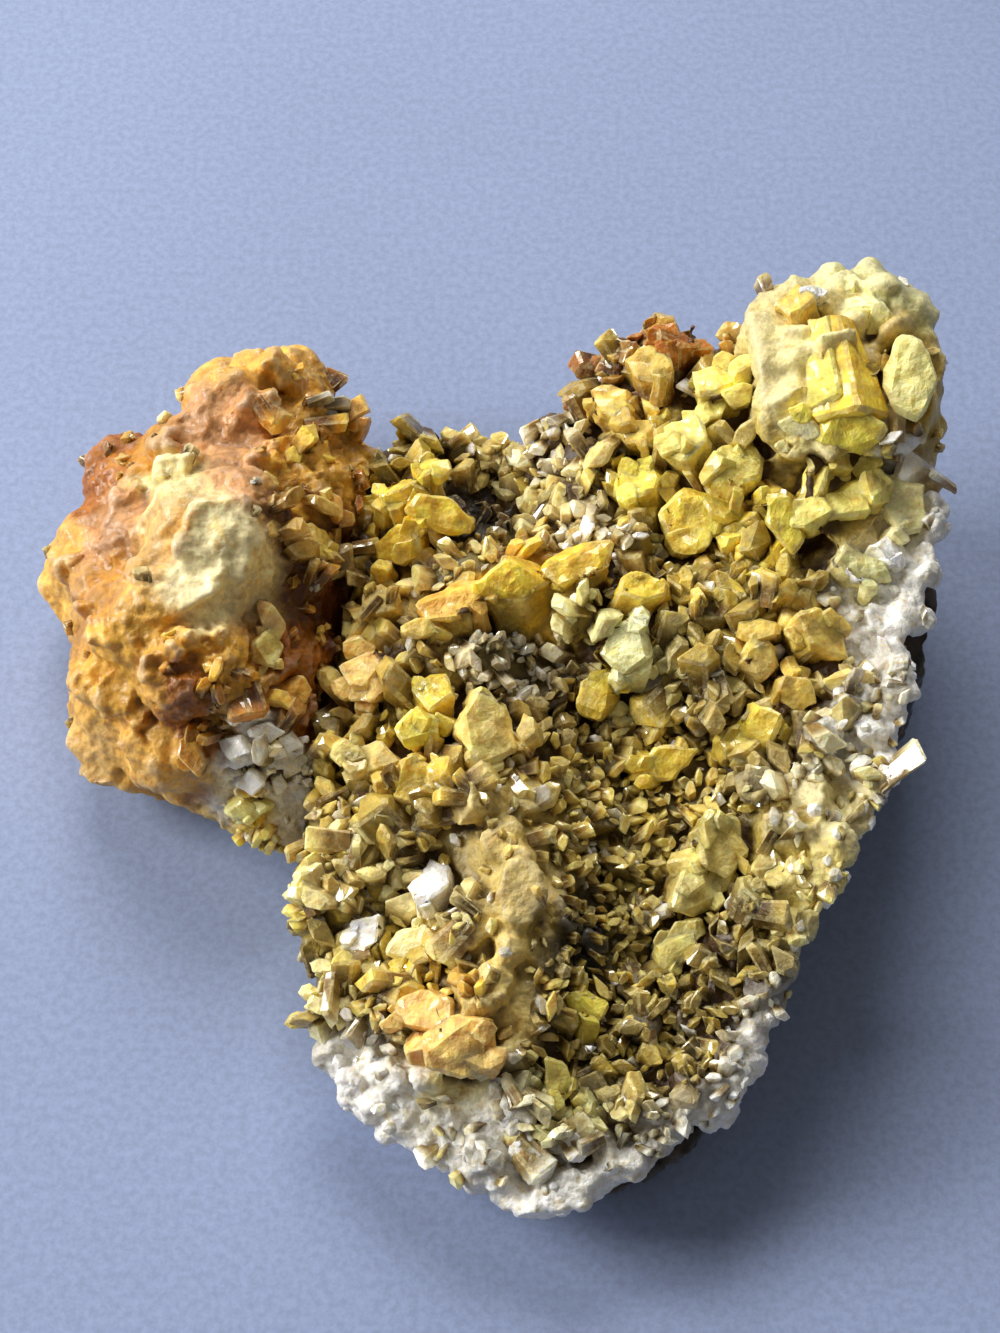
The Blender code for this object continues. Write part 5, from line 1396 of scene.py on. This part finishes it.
class SPECIMEN_OT_gossan(bpy.types.Operator):
    """Dark iron-stained rock under the crust"""

    bl_idname = "specimen.gossan"
    bl_label = "Gossan"

    def execute(self, context):
        sizes = context.scene.specimen_sizes
        mesh = regrown("matrix", [], {}, sizes.gossan_grain, 2)
        points = read_points(mesh)
        normals = read_normals(mesh)
        rough = 0.7 * fractal(points, 3.0, 2.0) + 0.25 * fractal(points, 1.0, 5.0)
        moved = points + normals * rough[:, None]
        resting = points[:, 2] < 0.3
        moved[resting] = points[resting]
        moved[:, 2] = np.maximum(moved[:, 2], 0.0)
        write_points(mesh, kept_in_box(moved))
        colours = palette(context)
        patches = np.clip(fractal(points, 5.0, 9.0) * 1.4 + 0.3, 0.0, 1.0)[:, None]
        write_colours(mesh, "ground", colours["soot"] * (1.0 - patches) + colours["umber"] * patches)
        # hollow drives the painted shade in the gossan's hollows
        write_values(mesh, "hollow", np.clip(hollows(mesh, 20) / 0.9, -1.0, 1.0))
        write_values(mesh, "relief", np.ones(len(points)))
        mesh.shade_smooth()
        material = ground_finish("gossan", context.scene.specimen_colours.soot, 1100.0, 0.12, 0.1)
        finished("gossan", mesh, material, "dark_gossan", "matrix")
        return {"FINISHED"}


class SPECIMEN_OT_stage(bpy.types.Operator):
    """Paper floor, window light, sky and camera"""

    bl_idname = "specimen.stage"
    bl_label = "Stage"

    def execute(self, context):
        stage = context.scene.specimen_stage
        work = bmesh.new()
        bmesh.ops.create_grid(work, x_segments=1, y_segments=1, size=stage.floor_size / 2)
        mesh = bpy.data.meshes.new("floor")
        work.to_mesh(mesh)
        work.free()
        material, graph, shader = new_material("paper")
        place = graph.add("ShaderNodeTexCoord", out=3)
        fibre = graph.noise(place, 1400.0, 4.0, 0.7)
        cloud = graph.noise(place, 14.0, 3.0, 0.5)
        value = graph.math(
            "MULTIPLY", graph.ramp(fibre, 0.3, 0.7, 0.88, 1.1), graph.ramp(cloud, 0.3, 0.7, 0.96, 1.04)
        )
        colour = graph.mix(1.0, (*stage.floor_colour, 1.0), graph.grey(value), "MULTIPLY")
        graph.tree.links.new(colour, shader.inputs["Base Color"])
        shader.inputs["Roughness"].default_value = 0.7
        mesh.materials.append(material)
        floor = add_object("floor", mesh)

        for name, place, width, height, power in (
            ("left window", (-450.0, 90.0, 250.0), 260.0, 220.0, stage.left_power),
            ("back window", (-80.0, 640.0, 600.0), 420.0, 320.0, stage.back_power),
        ):
            window = bpy.data.lights.new(name, "AREA")
            window.shape = "RECTANGLE"
            window.size = width * MM
            window.size_y = height * MM
            window.energy = power
            window.color = (1.0, 0.98, 0.95)
            lamp = bpy.data.objects.new(name, window)
            context.scene.collection.objects.link(lamp)
            lamp.location = Vector(place) * MM
            lamp.rotation_mode = "QUATERNION"
            lamp.rotation_quaternion = lamp.location.to_track_quat("Z", "Y")

        world = bpy.data.worlds.new("sky")
        world.use_nodes = True
        background = world.node_tree.nodes["Background"]
        background.inputs["Color"].default_value = (1.0, 0.97, 0.93, 1.0)
        background.inputs["Strength"].default_value = stage.sky
        context.scene.world = world
        context.scene.view_settings.view_transform = "Standard"

        camera = bpy.data.cameras.new("camera")
        camera.lens = stage.lens
        camera.sensor_width = 36.0
        camera.clip_start = 0.01
        camera.clip_end = 10.0
        viewer = bpy.data.objects.new("camera", camera)
        context.scene.collection.objects.link(viewer)
        viewer.location = Vector((1.5, -82.84, 179.53)) * MM
        viewer.rotation_euler = (math.radians(90.0 - 62.0), 0.0, 0.0)
        context.scene.camera = viewer
        return {"FINISHED"}


class VIEW3D_PT_specimen(bpy.types.Panel):
    """The specimen's operators and settings"""

    bl_label = "Pyromorphite Specimen"
    bl_space_type = "VIEW_3D"
    bl_region_type = "UI"
    bl_category = "Specimen"

    def draw(self, context):
        layout = self.layout
        for operator in OPERATORS:
            layout.operator(operator.bl_idname)
        for group in ("specimen_sizes", "specimen_colours", "specimen_stage"):
            settings = getattr(context.scene, group)
            box = layout.box()
            for name in type(settings).__annotations__:
                box.prop(settings, name)


OPERATORS = (
    SPECIMEN_OT_crust_ground,
    SPECIMEN_OT_crust_crystals,
    SPECIMEN_OT_named_crystals,
    SPECIMEN_OT_lobe,
    SPECIMEN_OT_gossan,
    SPECIMEN_OT_stage,
)
CLASSES = (SpecimenColours, SpecimenSizes, SpecimenStage, *OPERATORS, VIEW3D_PT_specimen)


def register():
    for cls in CLASSES:
        bpy.utils.register_class(cls)
    bpy.types.Scene.specimen_colours = PointerProperty(type=SpecimenColours)
    bpy.types.Scene.specimen_sizes = PointerProperty(type=SpecimenSizes)
    bpy.types.Scene.specimen_stage = PointerProperty(type=SpecimenStage)


def unregister():
    del bpy.types.Scene.specimen_colours
    del bpy.types.Scene.specimen_sizes
    del bpy.types.Scene.specimen_stage
    for cls in reversed(CLASSES):
        bpy.utils.unregister_class(cls)


def main():
    register()
    bpy.ops.specimen.crust_ground()
    bpy.ops.specimen.crust_crystals()
    bpy.ops.specimen.named_crystals()
    bpy.ops.specimen.lobe()
    bpy.ops.specimen.gossan()
    bpy.ops.specimen.stage()


if __name__ == "__main__":
    main()
